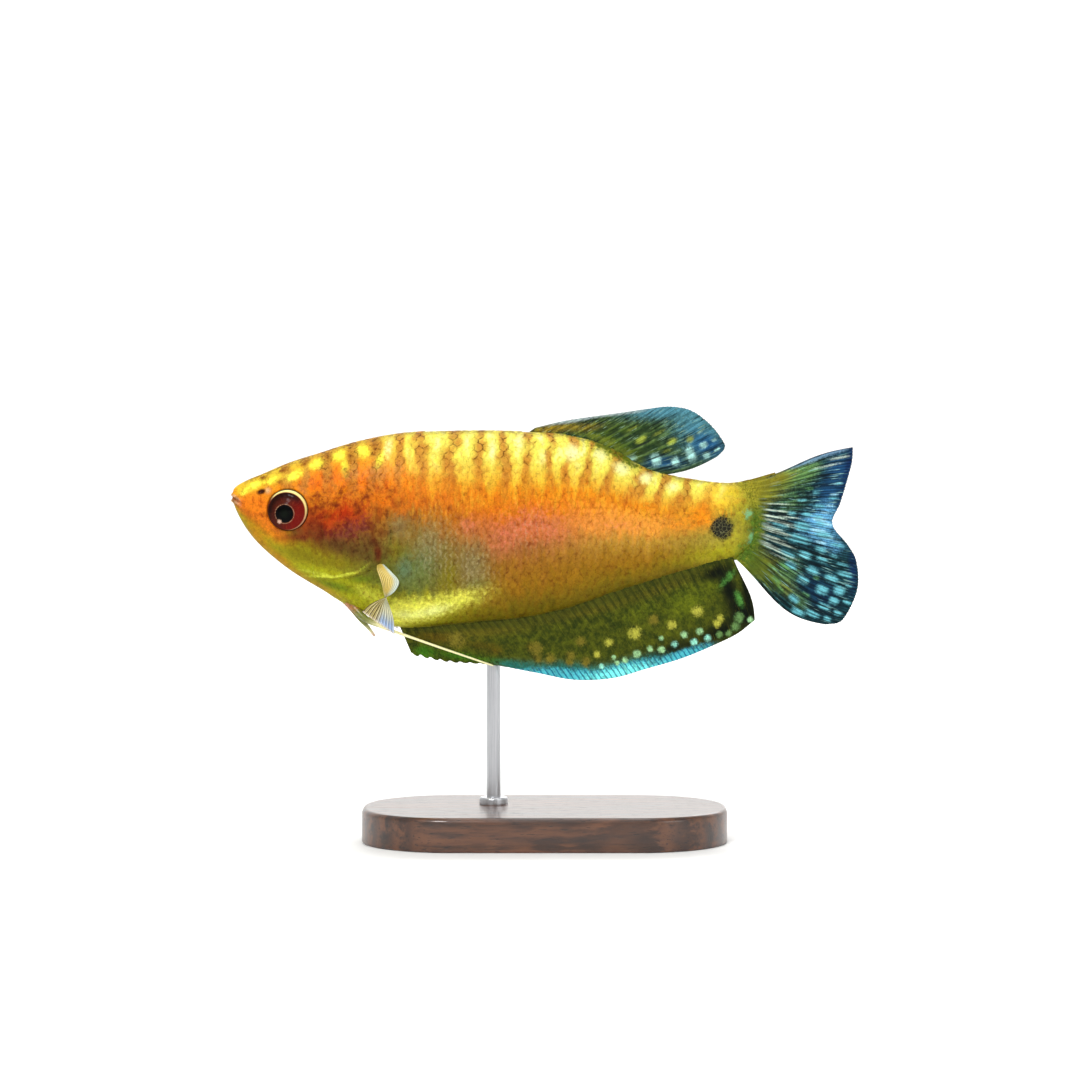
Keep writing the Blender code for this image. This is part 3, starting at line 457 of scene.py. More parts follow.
# Markings that the skin and the scales share
markings = {
    "bandMiddles": [3.0, 8.3, 12.0, 15.0, 19.9, 23.2, 28.3, 31.3, 35.8, 41.2, 45.8, 50.0, 54.2, 57.7,
                    61.4, 64.2, 69.3, 73.7, 77.3, 81.5, 86.0],
    "bandLean": 0.45,                    # mm forward for each mm down, on the rear half
    "stalkSpot": (85.9, 2.2, 2.2),       # x, z and radius
    # Where the scales' rear edges carry pale painted highlights: x, z, half length, half height, turn,
    # strength
    "glints": [(37.0, -1.5, 4.5, 6.0, 10, 0.95), (43.0, -4.0, 3.5, 5.0, 10, 0.95),
               (52.0, 1.5, 4.0, 4.0, 0, 0.6), (66.0, 1.0, 14.0, 3.5, -5, 0.25)],
}
washes = {
    "snoutGold": {"colour": (0.95, 0.80, 0.20), "at": [
        (3.4, 9.3, 3.4, 1.3, 24, 0.9), (8.5, 11.6, 3.4, 1.4, 22, 0.8)]},
    "snoutOrange": {"colour": (0.93, 0.50, 0.10), "at": [
        (4.4, 6.2, 4.2, 2.6, -20, 0.85), (6.6, 3.4, 3.4, 2.4, -40, 0.6), (9.0, 0.6, 3.0, 1.6, -30, 0.5)]},
    "jawGold": {"colour": (0.72, 0.50, 0.07), "at": [
        (4.6, 1.2, 3.4, 1.4, -52, 0.8), (9.3, -3.6, 5.0, 1.1, -38, 0.75), (16.5, -8.4, 6.0, 0.9, -28, 0.5)]},
    "napeOrange": {"colour": (0.98, 0.48, 0.03), "grain": 1.2, "at": [
        (17.4, 11.0, 4.2, 2.8, 20, 0.95), (24.5, 10.8, 4.4, 3.6, 0, 0.85), (14.4, 10.2, 2.4, 1.6, 20, 0.7),
        (29.0, 12.0, 3.0, 3.0, 0, 0.6)]},
    "cheekRed": {"colour": (0.75, 0.24, 0.03), "grain": 2.0, "at": [
        (20.8, 5.6, 3.6, 2.8, 20, 0.75), (17.6, 3.6, 3.4, 2.6, 0, 0.6), (23.0, 3.4, 1.8, 2.8, 0, 0.5)]},
    "underEye": {"colour": (0.46, 0.20, 0.07), "grain": 1.0, "at": [
        (12.0, 0.7, 3.8, 0.9, 4, 0.75), (15.6, 2.2, 1.6, 2.6, 10, 0.7)]},
    "crimson": {"colour": (0.44, 0.19, 0.16), "grain": 2.4, "at": [
        (21.0, 1.9, 3.2, 2.3, 20, 0.75), (24.0, 2.8, 1.2, 2.2, 0, 0.6), (17.8, 1.2, 1.8, 1.0, 0, 0.4)]},
    "coverBrown": {"colour": (0.36, 0.25, 0.10), "grain": 1.0, "at": [
        (19.6, -0.8, 3.6, 1.6, 0, 0.8), (24.4, -0.4, 1.6, 3.0, 0, 0.65), (22.6, -2.4, 2.4, 1.6, 0, 0.5)]},
    "oliveCheek": {"colour": (0.49, 0.44, 0.05), "at": [
        (12.6, -2.2, 4.6, 1.8, -18, 0.8), (19.0, -3.8, 4.6, 1.3, -6, 0.6)]},
    "throat": {"colour": (0.64, 0.64, 0.09), "at": [
        (15.2, -5.2, 5.5, 1.0, -12, 0.8), (18.6, -6.6, 5.0, 1.0, -14, 0.6), (22.0, -9.6, 5.0, 2.2, -32, 0.8),
        (26.4, -10.4, 3.6, 2.0, -20, 0.65)]},
    "throatLight": {"colour": (0.78, 0.78, 0.24), "grain": 1.2, "at": [
        (23.8, -9.0, 2.4, 1.1, -30, 0.8), (26.2, -9.6, 1.6, 2.0, 0, 0.6)]},
    "underCover": {"colour": (0.38, 0.46, 0.07), "at": [
        (18.8, -7.9, 4.6, 0.9, -16, 0.75), (23.2, -6.6, 2.8, 0.8, 6, 0.7)]},
    "darkRed": {"colour": (0.36, 0.13, 0.04), "at": [
        (26.2, -2.1, 0.9, 2.2, 0, 0.9), (25.4, 0.4, 0.7, 1.8, 12, 0.6)]},
    "brownPatches": {"colour": (0.52, 0.23, 0.05), "grain": 2.0, "at": [
        (15.6, 8.0, 1.5, 1.1, 0, 0.6), (18.6, 6.4, 1.3, 1.1, 0, 0.7), (14.9, 5.2, 1.2, 0.9, 0, 0.7),
        (21.5, 9.8, 1.3, 1.7, 0, 0.7), (17.4, 11.0, 1.0, 1.4, 0, 0.7), (23.4, 7.4, 1.2, 1.5, 0, 0.6),
        (3.4, 5.0, 0.7, 1.0, 0, 0.4), (6.2, 4.6, 1.0, 0.7, 0, 0.4), (25.6, 11.4, 1.0, 2.0, 0, 0.6),
        (13.4, 3.0, 0.8, 1.3, 0, 0.6), (16.4, 6.2, 0.9, 0.9, 0, 0.7), (17.2, 4.4, 0.9, 0.8, 0, 0.7),
        (19.6, 8.4, 0.9, 1.2, 0, 0.6), (22.6, 5.4, 0.9, 1.4, 0, 0.7), (19.0, 3.0, 1.0, 0.7, 0, 0.6),
        (24.6, 9.2, 0.9, 1.6, 0, 0.6), (14.6, 6.8, 0.8, 0.7, 0, 0.6),
        (30.4, 6.6, 1.3, 1.0, 0, 0.6), (34.6, 7.4, 1.2, 0.9, 0, 0.5),
        (38.2, 6.0, 0.9, 0.7, 0, 0.5), (28.4, 8.6, 1.0, 1.6, 0, 0.6), (32.4, 4.2, 1.6, 0.8, 0, 0.5)]},
    "flankGrey": {"colour": (0.52, 0.46, 0.28), "grain": 1.0, "at": [
        (35.2, -0.4, 3.0, 4.6, 0, 0.65), (42.6, -4.4, 3.2, 4.6, 0, 0.8), (29.8, 2.6, 2.2, 2.8, 0, 0.65)]},
    "flankSage": {"colour": (0.42, 0.46, 0.22), "at": [
        (32.4, -6.2, 3.6, 2.8, 10, 0.7), (43.4, -7.4, 3.4, 1.6, 10, 0.5)]},
    "flankOlive": {"colour": (0.50, 0.46, 0.05), "at": [
        (29.4, -2.2, 1.8, 3.6, 0, 0.6), (38.6, -6.6, 1.9, 4.0, 0, 0.65)]},
    "blueGrey": {"colour": (0.37, 0.47, 0.34), "grain": 1.0, "at": [
        (30.6, -4.8, 1.8, 2.6, 0, 0.7), (34.5, -3.0, 2.8, 3.4, 0, 0.4)]},
    "pink": {"colour": (0.80, 0.43, 0.30), "grain": 1.6, "at": [
        (51.8, 3.0, 4.0, 3.2, 0, 0.55), (47.6, 0.4, 3.0, 3.4, 0, 0.45), (56.6, 2.0, 3.6, 3.0, 0, 0.45),
        (41.8, 2.8, 1.8, 2.0, 0, 0.5), (68.0, 2.8, 5.0, 1.8, -6, 0.3)]},
    # Painted highlight on the belly, with a paler painted highlight in its middle
    "bellyShine": {"colour": (0.92, 0.91, 0.34), "grain": 1.0, "at": [
        (32.6, -12.2, 5.6, 2.3, 8, 0.95), (40.0, -10.2, 6.2, 1.8, 16, 0.72),
        (29.2, -12.6, 2.6, 2.4, 0, 0.85)]},
    # The painted highlight's palest middle
    "bellyPale": {"colour": (0.93, 0.95, 0.55), "grain": 1.2, "at": [
        (35.6, -12.2, 3.6, 1.1, 14, 0.75), (30.6, -12.8, 2.4, 1.0, 0, 0.6)]},
    "stalkAmber": {"colour": (0.90, 0.53, 0.08), "grain": 0.8, "at": [
        (82.5, 4.4, 2.6, 2.4, 30, 0.85), (78.5, 3.0, 4.0, 2.4, 10, 0.5)]},
    "gillEdgeLight": {"colour": (0.80, 0.82, 0.26), "edge": 0.6, "grain": 1.2, "at": [
        (15.4, -5.6, 3.2, 0.35, -10, 0.5), (16.4, -6.2, 3.6, 0.22, 0, 0.6), (20.6, -5.75, 2.6, 0.22, 12, 0.7),
        (23.4, -4.6, 1.6, 0.16, 35, 0.5)]},
}
# Laid over the bands of the back
topWashes = {
    "foreheadYellow": {"colour": (1.0, 1.0, 0.30), "grain": 1.2, "at": [
        (15.3, 13.4, 1.5, 0.9, 20, 0.95), (11.4, 11.4, 1.7, 0.9, 25, 0.9), (19.2, 14.9, 1.3, 1.0, 15, 0.9),
        (23.4, 15.6, 1.3, 1.1, 0, 0.9), (20.3, 12.7, 0.8, 1.6, 0, 0.7), (4.4, 9.7, 1.9, 0.6, 25, 0.9),
        (2.4, 8.3, 0.9, 0.6, 30, 0.7), (7.6, 10.6, 1.2, 0.6, 25, 0.8), (26.6, 14.4, 0.8, 1.8, -20, 0.7)]},
    "foreheadBrown": {"colour": (0.56, 0.33, 0.09), "grain": 2.4, "at": [
        (9.4, 12.3, 1.4, 0.5, 25, 0.7), (13.2, 13.6, 1.3, 0.6, 20, 0.75), (17.2, 14.6, 0.9, 0.9, 20, 0.75),
        (21.2, 14.8, 0.8, 1.4, 0, 0.75), (6.0, 10.9, 0.9, 0.5, 25, 0.6), (21.0, 16.6, 1.2, 0.5, 15, 0.7),
        (25.4, 16.4, 0.8, 1.6, 0, 0.7), (8.8, 10.3, 0.7, 0.6, 0, 0.6), (13.2, 9.6, 1.2, 0.5, 0, 0.5),
        (20.4, 12.0, 0.8, 1.0, 0, 0.6)]},
    "bandCream": {"colour": (0.98, 0.97, 0.66), "grain": 0.8, "at": [
        (59.8, 15.4, 1.5, 1.5, 0, 0.95), (64.9, 14.8, 1.1, 1.3, 0, 0.9), (68.4, 12.6, 1.5, 1.2, -30, 0.95),
        (72.8, 10.9, 1.3, 1.1, 0, 0.9), (77.4, 9.4, 1.2, 1.0, 0, 0.7), (50.6, 17.2, 0.8, 2.0, 0, 0.7),
        (45.9, 16.0, 0.7, 2.2, 0, 0.75), (41.4, 17.2, 0.6, 1.6, 0, 0.6), (36.4, 17.0, 0.6, 1.6, 0, 0.6),
        (27.8, 16.2, 0.8, 2.2, -10, 0.6), (54.6, 14.6, 0.8, 1.6, 0, 0.5)]},
    "stalkGold": {"colour": (0.80, 0.68, 0.16), "grain": 0.8, "at": [
        (88.0, 8.6, 3.4, 1.8, 0, 0.8), (87.0, 6.0, 2.6, 2.0, 0, 0.4)]},
    "stalkOlive": {"colour": (0.63, 0.59, 0.14), "grain": 1.6, "at": [
        (90.0, 5.0, 2.4, 4.0, 0, 0.8), (89.6, -1.2, 2.6, 2.8, 0, 0.75), (84.0, -4.0, 4.0, 1.4, -10, 0.6),
        (92.0, 8.6, 2.0, 2.6, 0, 0.75)]},
    "stalkGreen": {"colour": (0.31, 0.40, 0.11), "grain": 2.6, "at": [
        (91.9, 3.6, 1.5, 3.6, 0, 0.75), (91.0, -2.6, 2.6, 2.0, -35, 0.85), (93.2, 8.0, 1.2, 1.8, 0, 0.4)]},
    "stalkTeal": {"colour": (0.46, 0.72, 0.54), "grain": 3.4, "at": [
        (90.7, 4.7, 0.9, 0.9, 0, 0.8), (91.3, 0.4, 0.9, 1.7, -15, 0.85)]},
    "dorsalGreen": {"colour": (0.34, 0.40, 0.08), "grain": 3.0, "at": [
        (65.3, 16.6, 3.6, 1.6, -24, 0.9), (69.6, 14.3, 3.4, 1.5, -28, 0.9), (60.5, 18.6, 3.4, 0.7, -5, 0.7),
        (73.2, 12.6, 1.6, 0.5, -20, 0.6)]},
    "bellyBronze": {"colour": (0.46, 0.38, 0.08), "grain": 1.6, "at": [
        (46.0, -13.2, 10.0, 1.1, 4, 0.5), (62.0, -10.0, 8.0, 1.4, 15, 0.6), (77.0, -5.6, 9.0, 1.2, 15, 0.6)]},
    # Darker olive along the belly's lower edge: partly its own olive, partly painted shade under the belly
    "bellyMoss": {"colour": (0.36, 0.33, 0.07), "grain": 2.4, "at": [
        (48.0, -14.4, 12.0, 0.8, 4, 0.85), (64.0, -10.8, 8.0, 0.8, 17, 0.9), (78.0, -6.6, 9.0, 0.8, 15, 0.9),
        (37.0, -15.0, 6.0, 0.8, 4, 0.7)]},
}
palette = {
    "lemon": (0.95, 0.90, 0.34), "gold": (0.93, 0.74, 0.18),
    "amber": (0.90, 0.53, 0.07), "tangerine": (0.86, 0.44, 0.08), "rust": (0.72, 0.30, 0.06),
    "brick": (0.60, 0.25, 0.09), "umber": (0.44, 0.28, 0.10), "salmon": (0.80, 0.42, 0.19),
    "clay": (0.65, 0.39, 0.19), "ochre": (0.60, 0.39, 0.11), "bronze": (0.58, 0.41, 0.07),
    "olive": (0.52, 0.41, 0.06), "moss": (0.38, 0.36, 0.06), "khaki": (0.51, 0.42, 0.16),
    "sage": (0.39, 0.42, 0.16), "lime": (0.60, 0.58, 0.10), "apricot": (0.92, 0.60, 0.21),
    "hazel": (0.56, 0.52, 0.18), "honey": (0.72, 0.54, 0.18),
}
# Colours from the back to the belly at five places along the body
grades = [
    (14.0, [(0.0, "gold"), (0.20, "amber"), (0.32, "amber"), (0.42, "rust"), (0.52, "brick"),
            (0.62, "umber"), (0.70, "olive"), (0.80, "lime"), (1.0, "lime")]),
    (31.0, [(0.0, "gold"), (0.20, "amber"), (0.34, "tangerine"), (0.43, "ochre"), (0.54, "khaki"),
            (0.66, "sage"), (0.78, "sage"), (0.88, "lime"), (1.0, "lime")]),
    (50.0, [(0.0, "lemon"), (0.24, "gold"), (0.34, "amber"), (0.42, "tangerine"), (0.50, "salmon"),
            (0.60, "clay"), (0.70, "ochre"), (0.82, "bronze"), (1.0, "moss")]),
    (72.0, [(0.0, "lemon"), (0.20, "lemon"), (0.34, "amber"), (0.46, "apricot"), (0.54, "apricot"),
            (0.64, "honey"), (0.78, "bronze"), (0.88, "olive"), (1.0, "moss")]),
    (88.0, [(0.0, "lemon"), (0.20, "gold"), (0.36, "hazel"), (0.50, "hazel"), (0.70, "hazel"), (0.86, "lime"),
            (1.0, "moss")]),
]


def bodyMarks(x, z):
    # Marks of the skin and of the scales: the share from back to belly, the bands' phase,
    # which is a whole number in the middle of each yellow band, and the washes
    share = backToBelly(x, z)
    down = np.interp(x, *backLine.T) - z
    lean = markings["bandLean"] * smooth((x - 50.0) / 25.0)
    middles = markings["bandMiddles"]
    phase = np.interp(x + lean * (down - 3.0), middles, np.arange(len(middles)))
    glints = softMask(x, z, markings["glints"])
    return {"share": share, "phase": phase, "down": down, "glints": glints,
            **washMarks(x, z, washes), **washMarks(x, z, topWashes)}


def pastStalk(x, z):
    # How far a place lies behind the stalk's rounded end, which bulges to the rear in its middle
    endX, endZ, bow = body["stalkEnd"]
    return x - endX + (z - endZ) * (z - endZ) * bow


def stalkEndColour(finish, z):
    # Mottled green, olive at the top: the skin and the tail fin both take it where they meet
    place = finish.place()
    speck = finish.noise(place, 3.4, 3.0, 0.7)
    patch = finish.noise(place, 1.0, 3.0, 0.6)
    colour = finish.mix(hue(0.31, 0.42, 0.12), hue(0.62, 0.58, 0.16), z.ramp(3.5, 8.5))
    colour = finish.mix(colour, hue(0.56, 0.55, 0.15), patch.ramp(0.48, 0.64) * 0.6)
    return finish.mix(colour, hue(0.22, 0.27, 0.06), speck.ramp(0.46, 0.60) * 0.65)


def skinFinish():
    skin = Finish("gouramiSkin", Coat_Weight=0.03, Coat_Roughness=0.2, Specular_IOR_Level=0.05)
    place = skin.place()
    x, _, z = skin.split(place)
    share, phase, down = skin.mark("share"), skin.mark("phase"), skin.mark("down")
    rim, tone = skin.mark("rim"), skin.mark("tone")
    coarse = skin.noise(place, 0.30, 3.0)
    patch = skin.noise(place, 0.75, 2.0)
    fine = skin.noise(place, 1.5, 4.0, 0.65)
    speck = skin.noise(place, 3.6, 3.0, 0.7)
    mottle = skin.noise(skin.stretch(place, (1.0, 0.0, 0.8)), 1.0, 4.0, 0.7)
    # Fewer mottles and freckles under the painted highlight on the belly
    calm = 1.0 - skin.mark("bellyShine") * 0.85
    # From back to belly, one gradient after another along the body, drawn out in soft flames
    flame = skin.noise(skin.stretch(place, (1.0, 0.0, 0.3)), 0.8, 3.0, 0.55)
    wavy = share + (coarse - 0.5) * 0.08 + (flame - 0.5) * 0.24 + (fine - 0.5) * 0.12
    colour = None
    for (at, stops), before in zip(grades, [None] + grades):
        grade = skin.node("ShaderNodeValToRGB", {
            "stops": [(stop, hue(*palette[name])) for stop, name in stops]}, {0: wavy})
        colour = grade if before is None else skin.mix(colour, grade, x.ramp(before[0], at))
    # Upright gold and rust flames break up the orange under the bands
    blaze = skin.noise(skin.stretch(place, (1.4, 0.0, 0.4)), 0.9, 4.0, 0.65)
    zone = share.ramp(0.16, 0.28) * share.ramp(0.36, 0.52, 1.0, 0.0) * x.ramp(26.0, 34.0)
    colour = skin.mix(colour, hue(0.92, 0.66, 0.16), blaze.ramp(0.50, 0.64) * zone * 0.6)
    colour = skin.mix(colour, hue(0.72, 0.32, 0.07), blaze.ramp(0.36, 0.48, 1.0, 0.0) * zone * 0.55)
    colour = skin.washes(colour, washes, fine)
    # Brown patches over the cheek and the nape
    cheek = share.ramp(0.14, 0.28) * share.ramp(0.58, 0.74, 1.0, 0.0)
    cheek = cheek * x.ramp(11.0, 16.0) * x.ramp(27.0, 34.0, 1.0, 0.0)
    colour = skin.mix(colour, skin.stretch(colour, (0.60, 0.38, 0.36)), patch.ramp(0.46, 0.62) * cheek * 0.8)
    # Wide yellow bands on the back, swelling and wandering, with narrow brown strips between them
    wander = skin.noise(skin.stretch(place, (1.0, 0.0, 0.8)), 0.24, 2.0, 0.5)
    swell = skin.noise(place, 0.42, 1.0)
    drift = (wander - 0.5) * 1.1 + (patch - 0.5) * 0.25
    wave = (phase + drift).ripple() + (swell - 0.5) * 2.2 + (mottle - 0.5) * 1.5
    wave = wave - share.ramp(0.06, 0.34) * 0.45
    reach = share + (flame - 0.5) * 0.34 + (coarse - 0.5) * 0.20
    onBack = x.ramp(80.0, 90.0, 1.0, 0.0)
    strip = wave.ramp(-1.2, 0.7, 1.0, 0.0)
    brown = strip * reach.ramp(0.20, 0.44, 1.0, 0.0) * x.ramp(5.0, 10.0) * onBack
    yellow = (1.0 - strip) * (reach + x.ramp(28.0, 42.0, 0.12, 0.0)).ramp(0.08, 0.46, 1.0, 0.0)
    yellow = yellow * x.ramp(22.0, 34.0, 0.12, 1.0)
    redder = (share + patch * 0.2).ramp(0.22, 0.44)
    brownColour = skin.mix(hue(0.79, 0.54, 0.20), hue(0.82, 0.46, 0.11), redder)
    brownColour = skin.mix(brownColour, hue(0.50, 0.29, 0.08), fine.ramp(0.50, 0.64) * 0.7)
    colour = skin.mix(colour, brownColour, brown * 0.9)
    lemon = skin.mix(hue(0.95, 0.90, 0.36), hue(0.92, 0.66, 0.14), share.ramp(0.12, 0.34))
    colour = skin.mix(colour, lemon, yellow * x.ramp(84.0, 92.0, 0.95, 0.3))
    pale = yellow * wave.ramp(0.5, 1.4) * share.ramp(0.05, 0.26, 1.0, 0.1) * x.ramp(30.0, 50.0, 0.35, 1.0)
    colour = skin.mix(colour, hue(0.97, 0.96, 0.60), pale * patch.ramp(0.36, 0.56))
    colour = skin.washes(colour, topWashes, fine)
    # Broken dark net of the scales' edges between the bands, and brown specks along the rear flank
    gate = fine.ramp(0.38, 0.54) * (0.35 + 0.65 * mottle.ramp(0.36, 0.54))
    net = rim.ramp(0.15, 0.75) * gate * (brown + 0.2 * yellow) * share.ramp(0.06, 0.34, 0.8, 0.15)
    net = net * (1.0 - skin.mark("bandCream"))
    colour = skin.mix(colour, hue(0.34, 0.20, 0.06), net.ramp(0.0, 1.0))
    freckle = speck.ramp(0.54, 0.64) * (0.35 + x.ramp(50.0, 72.0) * 0.65) * share.ramp(0.5, 0.75, 1.0, 0.45)
    colour = skin.mix(colour, hue(0.46, 0.24, 0.05), freckle * calm * 0.24)
    colour = skin.mix(colour, hue(0.34, 0.34, 0.09), speck.ramp(0.46, 0.60) * x.ramp(84.0, 91.0) * 0.5)
    stalkEnd = (pastStalk(x, z) + (fine - 0.5) * 3.0).ramp(-3.6, -0.9) * (1.0 - skin.mark("stalkTeal") * 0.8)
    colour = skin.mix(colour, stalkEndColour(skin, z), stalkEnd)
    edge = down.ramp(0.0, 1.2, 1.0, 0.0) * fine.ramp(0.42, 0.54) * x.ramp(1.0, 4.0)
    colour = skin.mix(colour, hue(0.34, 0.24, 0.11), edge * (1.0 - skin.mark("dorsalGreen")) * 0.75)
    # Darker and redder mottles, lighter and yellower ones between, strongest below the bands
    under = (share.ramp(0.12, 0.30, 0.45, 1.0) + x.ramp(20.0, 32.0, 0.35, 0.0)) * calm
    under = under * (1.0 - share.ramp(0.58, 0.74) * x.ramp(20.0, 30.0, 0.55, 0.0))
    darker = skin.stretch(colour, (0.54, 0.36, 0.32))
    colour = skin.mix(colour, darker, mottle.ramp(0.50, 0.68) * under * 0.75)
    lighter = skin.stretch(colour, (1.10, 1.22, 0.90))
    colour = skin.mix(colour, lighter, mottle.ramp(0.32, 0.48, 1.0, 0.0) * 0.6)
    # Black spot on the tail stalk, broken by a pale net
    spotX, spotZ, spotRadius = markings["stalkSpot"]
    dx, dz = (x - spotX) / spotRadius, (z - spotZ) / spotRadius
    spotReach = dx * dx + dz * dz + (fine - 0.5) * 1.2 + (speck - 0.5) * 0.8
    web = skin.cells(place, 1.7, "DISTANCE_TO_EDGE").ramp(0.0, 0.09, 0.2, 1.0)
    colour = skin.mix(colour, hue(0.37, 0.38, 0.28), spotReach.ramp(0.2, 0.9, 0.85, 0.0))
    colour = skin.mix(colour, hue(0.09, 0.09, 0.08), spotReach.ramp(0.5, 1.3, 1.0, 0.0) * web * 0.95)
    # Mouth, nostrils and lips
    lips = skin.mark("lips") * x.ramp(2.4, 3.6, 1.0, 0.0)
    lipColour = skin.mix(hue(0.86, 0.70, 0.52), hue(0.30, 0.18, 0.12), speck.ramp(0.50, 0.60))
    colour = skin.mix(colour, lipColour, lips.ramp(0.35, 0.9) * 0.65)
    colour = skin.mix(colour, hue(0.95, 0.78, 0.55), skin.mark("flap") * 0.8)
    # The nostril's pit is painted dark: painted shade in the hole
    colour = skin.mix(colour, hue(0.24, 0.12, 0.06), skin.mark("pit") * fine.ramp(0.3, 0.5, 0.6, 1.0))
    # Painted highlights: pale wavy upright lines on the grey of the flank, where the scales' rear edges catch
    # the light
    zigzag = (z * 0.72 + coarse * 1.5).ripple() * 0.16
    wavyHighlight = (x * 1.08 + zigzag + (patch - 0.5) * 1.1).ripple().ramp(-0.3, 1.0)
    wavyHighlight = wavyHighlight * skin.mark("glints") * fine.ramp(0.32, 0.58) * patch.ramp(0.36, 0.5, 0.3, 1.0)
    colour = skin.mix(colour, hue(0.66, 0.61, 0.42), wavyHighlight * 0.42)
    # A grain all over
    bright = x.ramp(79.0, 87.0, 0.87, 1.10) + tone * 0.10
    colour = skin.tint(colour, bright * (fine * 1.05 + speck * 0.85))
    height = fine * 0.5 + speck * 0.5
    return skin.wear(colour, 0.40 + fine * 0.2, height, 0.00007, 0.5)


skinMaterial = skinFinish()
print("skin finish")

# Skin
skin = {
    "rows": ((0.0, 1.6, 30), (1.6, 30.0, 176), (30.0, 95.4, 120)),   # from x, to x, steps
    "sides": 256,
    "inset": 0.17,                       # the scales' depth
    "lip": 0.36, "lipWidth": 0.36, "upperLip": 0.44, "lowerLip": -0.50, "slit": 0.42, "slitWidth": 0.2,
    "cornerX": 2.8, "lipsTo": 4.6,
    "tipBack": 0.42,                     # how far the tip is set back under the lips
    # x, z, half length, half height, turn, and depth or height
    "nostril": (5.6, 8.55, 0.75, 0.42, 20.0, 0.45),
    "nostrilFlap": (6.75, 8.75, 0.5, 0.45, 0.0, 0.22),
}


def lipPath(offset):
    # From corner to corner round the snout on the body's surface, a little above or below the mouth
    t = np.linspace(-1.0, 1.0, 160)
    x = 0.15 + (skin["cornerX"] - 0.15) * np.abs(t) ** 1.7
    z = np.interp(x, *curve(body["mouthLine"]).T) + offset * (1.0 - 0.5 * np.abs(t) ** 3)
    back, belly, halfWidth = (np.interp(x, bodyRows[:, 0], bodyRows[:, k]) for k in (1, 2, 3))
    cosine = np.clip((z - (back + belly) / 2) / ((back - belly) / 2), -1.0, 1.0)
    return np.column_stack([x, np.sign(t) * halfWidth * np.sqrt(1 - cosine ** 2), z]), 1.0 - np.abs(t) ** 4


def nearPath(points, path, strength, width):
    # A bell over the distance to the path, by the path's strength there
    gap = ((points[:, None, :] - path[None]) ** 2).sum(2)
    near = gap.argmin(1)
    return strength[near] * np.exp(-gap[np.arange(len(points)), near] / width ** 2)


def pastTailBase(x, z):  # how far a place lies behind the line of the tail's base
    return x - np.interp(z, *np.array(body["tailBase"])[::-1, ::-1].T)


def stalkTaper(x, z):
    # At the tail's base the body thins away into the tail fin: a share of its width
    return 1.0 - 0.88 * smooth((pastTailBase(x, z) + 4.0) / 5.4)


def makeSkin():
    # Sections along x, moved along the surface's normal by the relief: gill covers, sockets,
    # lips with the slit between them, and nostrils
    x = np.concatenate([np.linspace(a, b, n, endpoint=False) for a, b, n in skin["rows"]]
                       + [[skin["rows"][-1][1]]])
    x[1:30] = skin["rows"][0][1] * (x[1:30] / skin["rows"][0][1]) ** 1.5
    angle = fullTurn(skin["sides"])
    base = bodyPoint(x[:, None], angle[None, :], -skin["inset"] * smooth((x[:, None] - 9.0) / 10.0))
    du = np.gradient(base, axis=0)
    dv = np.roll(base, -1, axis=1) - np.roll(base, 1, axis=1)
    normal = np.cross(dv, du)
    normal /= np.maximum(np.linalg.norm(normal, axis=2), 1e-9)[..., None]
    outwards = np.sign((normal * (base - bodyPoint(x[:, None], angle[None, :], -1.0))).sum(2))
    normal *= np.where(outwards == 0, 1.0, outwards)[..., None]
    normal[0] = (-1.0, 0.0, 0.0)
    px, py, pz = base[..., 0], base[..., 1], base[..., 2]
    flank = smooth((np.abs(py) - 1.0) / 1.5)
    height = relief(px, pz) * flank
    # Eye sockets with a thin raised rim
    gap = np.hypot(px - eye["x"], pz - eye["z"])
    height -= eye["socketDepth"] * smooth((eye["socketRadius"] - gap) / 0.34) * flank
    height += eye["rim"] * np.exp(-((gap - eye["socketRadius"] - 0.24) / 0.3) ** 2) * flank
    side = smooth((np.abs(py) - 0.8) / 0.8)
    *nostril, deep = skin["nostril"]
    *flap, high = skin["nostrilFlap"]
    height -= deep * softMask(px, pz, [(*nostril, 1.0)], edge=0.35) * side
    height += high * softMask(px, pz, [(*flap, 1.0)]) * side
    # Lips and the slit of the mouth
    front = px[:, 0] < skin["lipsTo"]
    near = base[front].reshape(-1, 3)
    lips = np.zeros(len(near))
    for offset in (skin["upperLip"], skin["lowerLip"]):
        lips = np.maximum(lips, nearPath(near, *lipPath(offset), skin["lipWidth"]))
    slit = nearPath(near, *lipPath(0.0), skin["slitWidth"])
    height[front] += (skin["lip"] * lips - skin["slit"] * slit).reshape(height[front].shape)
    lipMark = np.zeros(height.shape)
    lipMark[front] = np.maximum(lips, slit).reshape(height[front].shape)
    points = base + normal * height[..., None]
    points[..., 0] += skin["tipBack"] * np.exp(-px / 0.9)
    points[..., 1] *= stalkTaper(px, pz)
    points, faces = closedRings(points, [points[0].mean(0), points[-1].mean(0)])
    x, z = points[:, 0], points[:, 2]
    marks = bodyMarks(x, z)
    marks["rim"] = np.zeros(len(points))
    marks["tone"] = np.full(len(points), 0.5)
    marks["lips"] = np.concatenate([lipMark.ravel(), [1.0, 0.0]])
    # Where the nostril's pit takes its painted shade
    marks["pit"] = softMask(x, z, [(*nostril, 1.0)], edge=0.4)
    marks["flap"] = softMask(x, z, [(*flap, 1.0)])
    piece = newPiece("fish_skin", points, faces, skinMaterial, marks)
    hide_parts("head", "lower_jaw", "gill_cover_left", "gill_cover_right", "torso", "tail_stalk")


makeSkin()

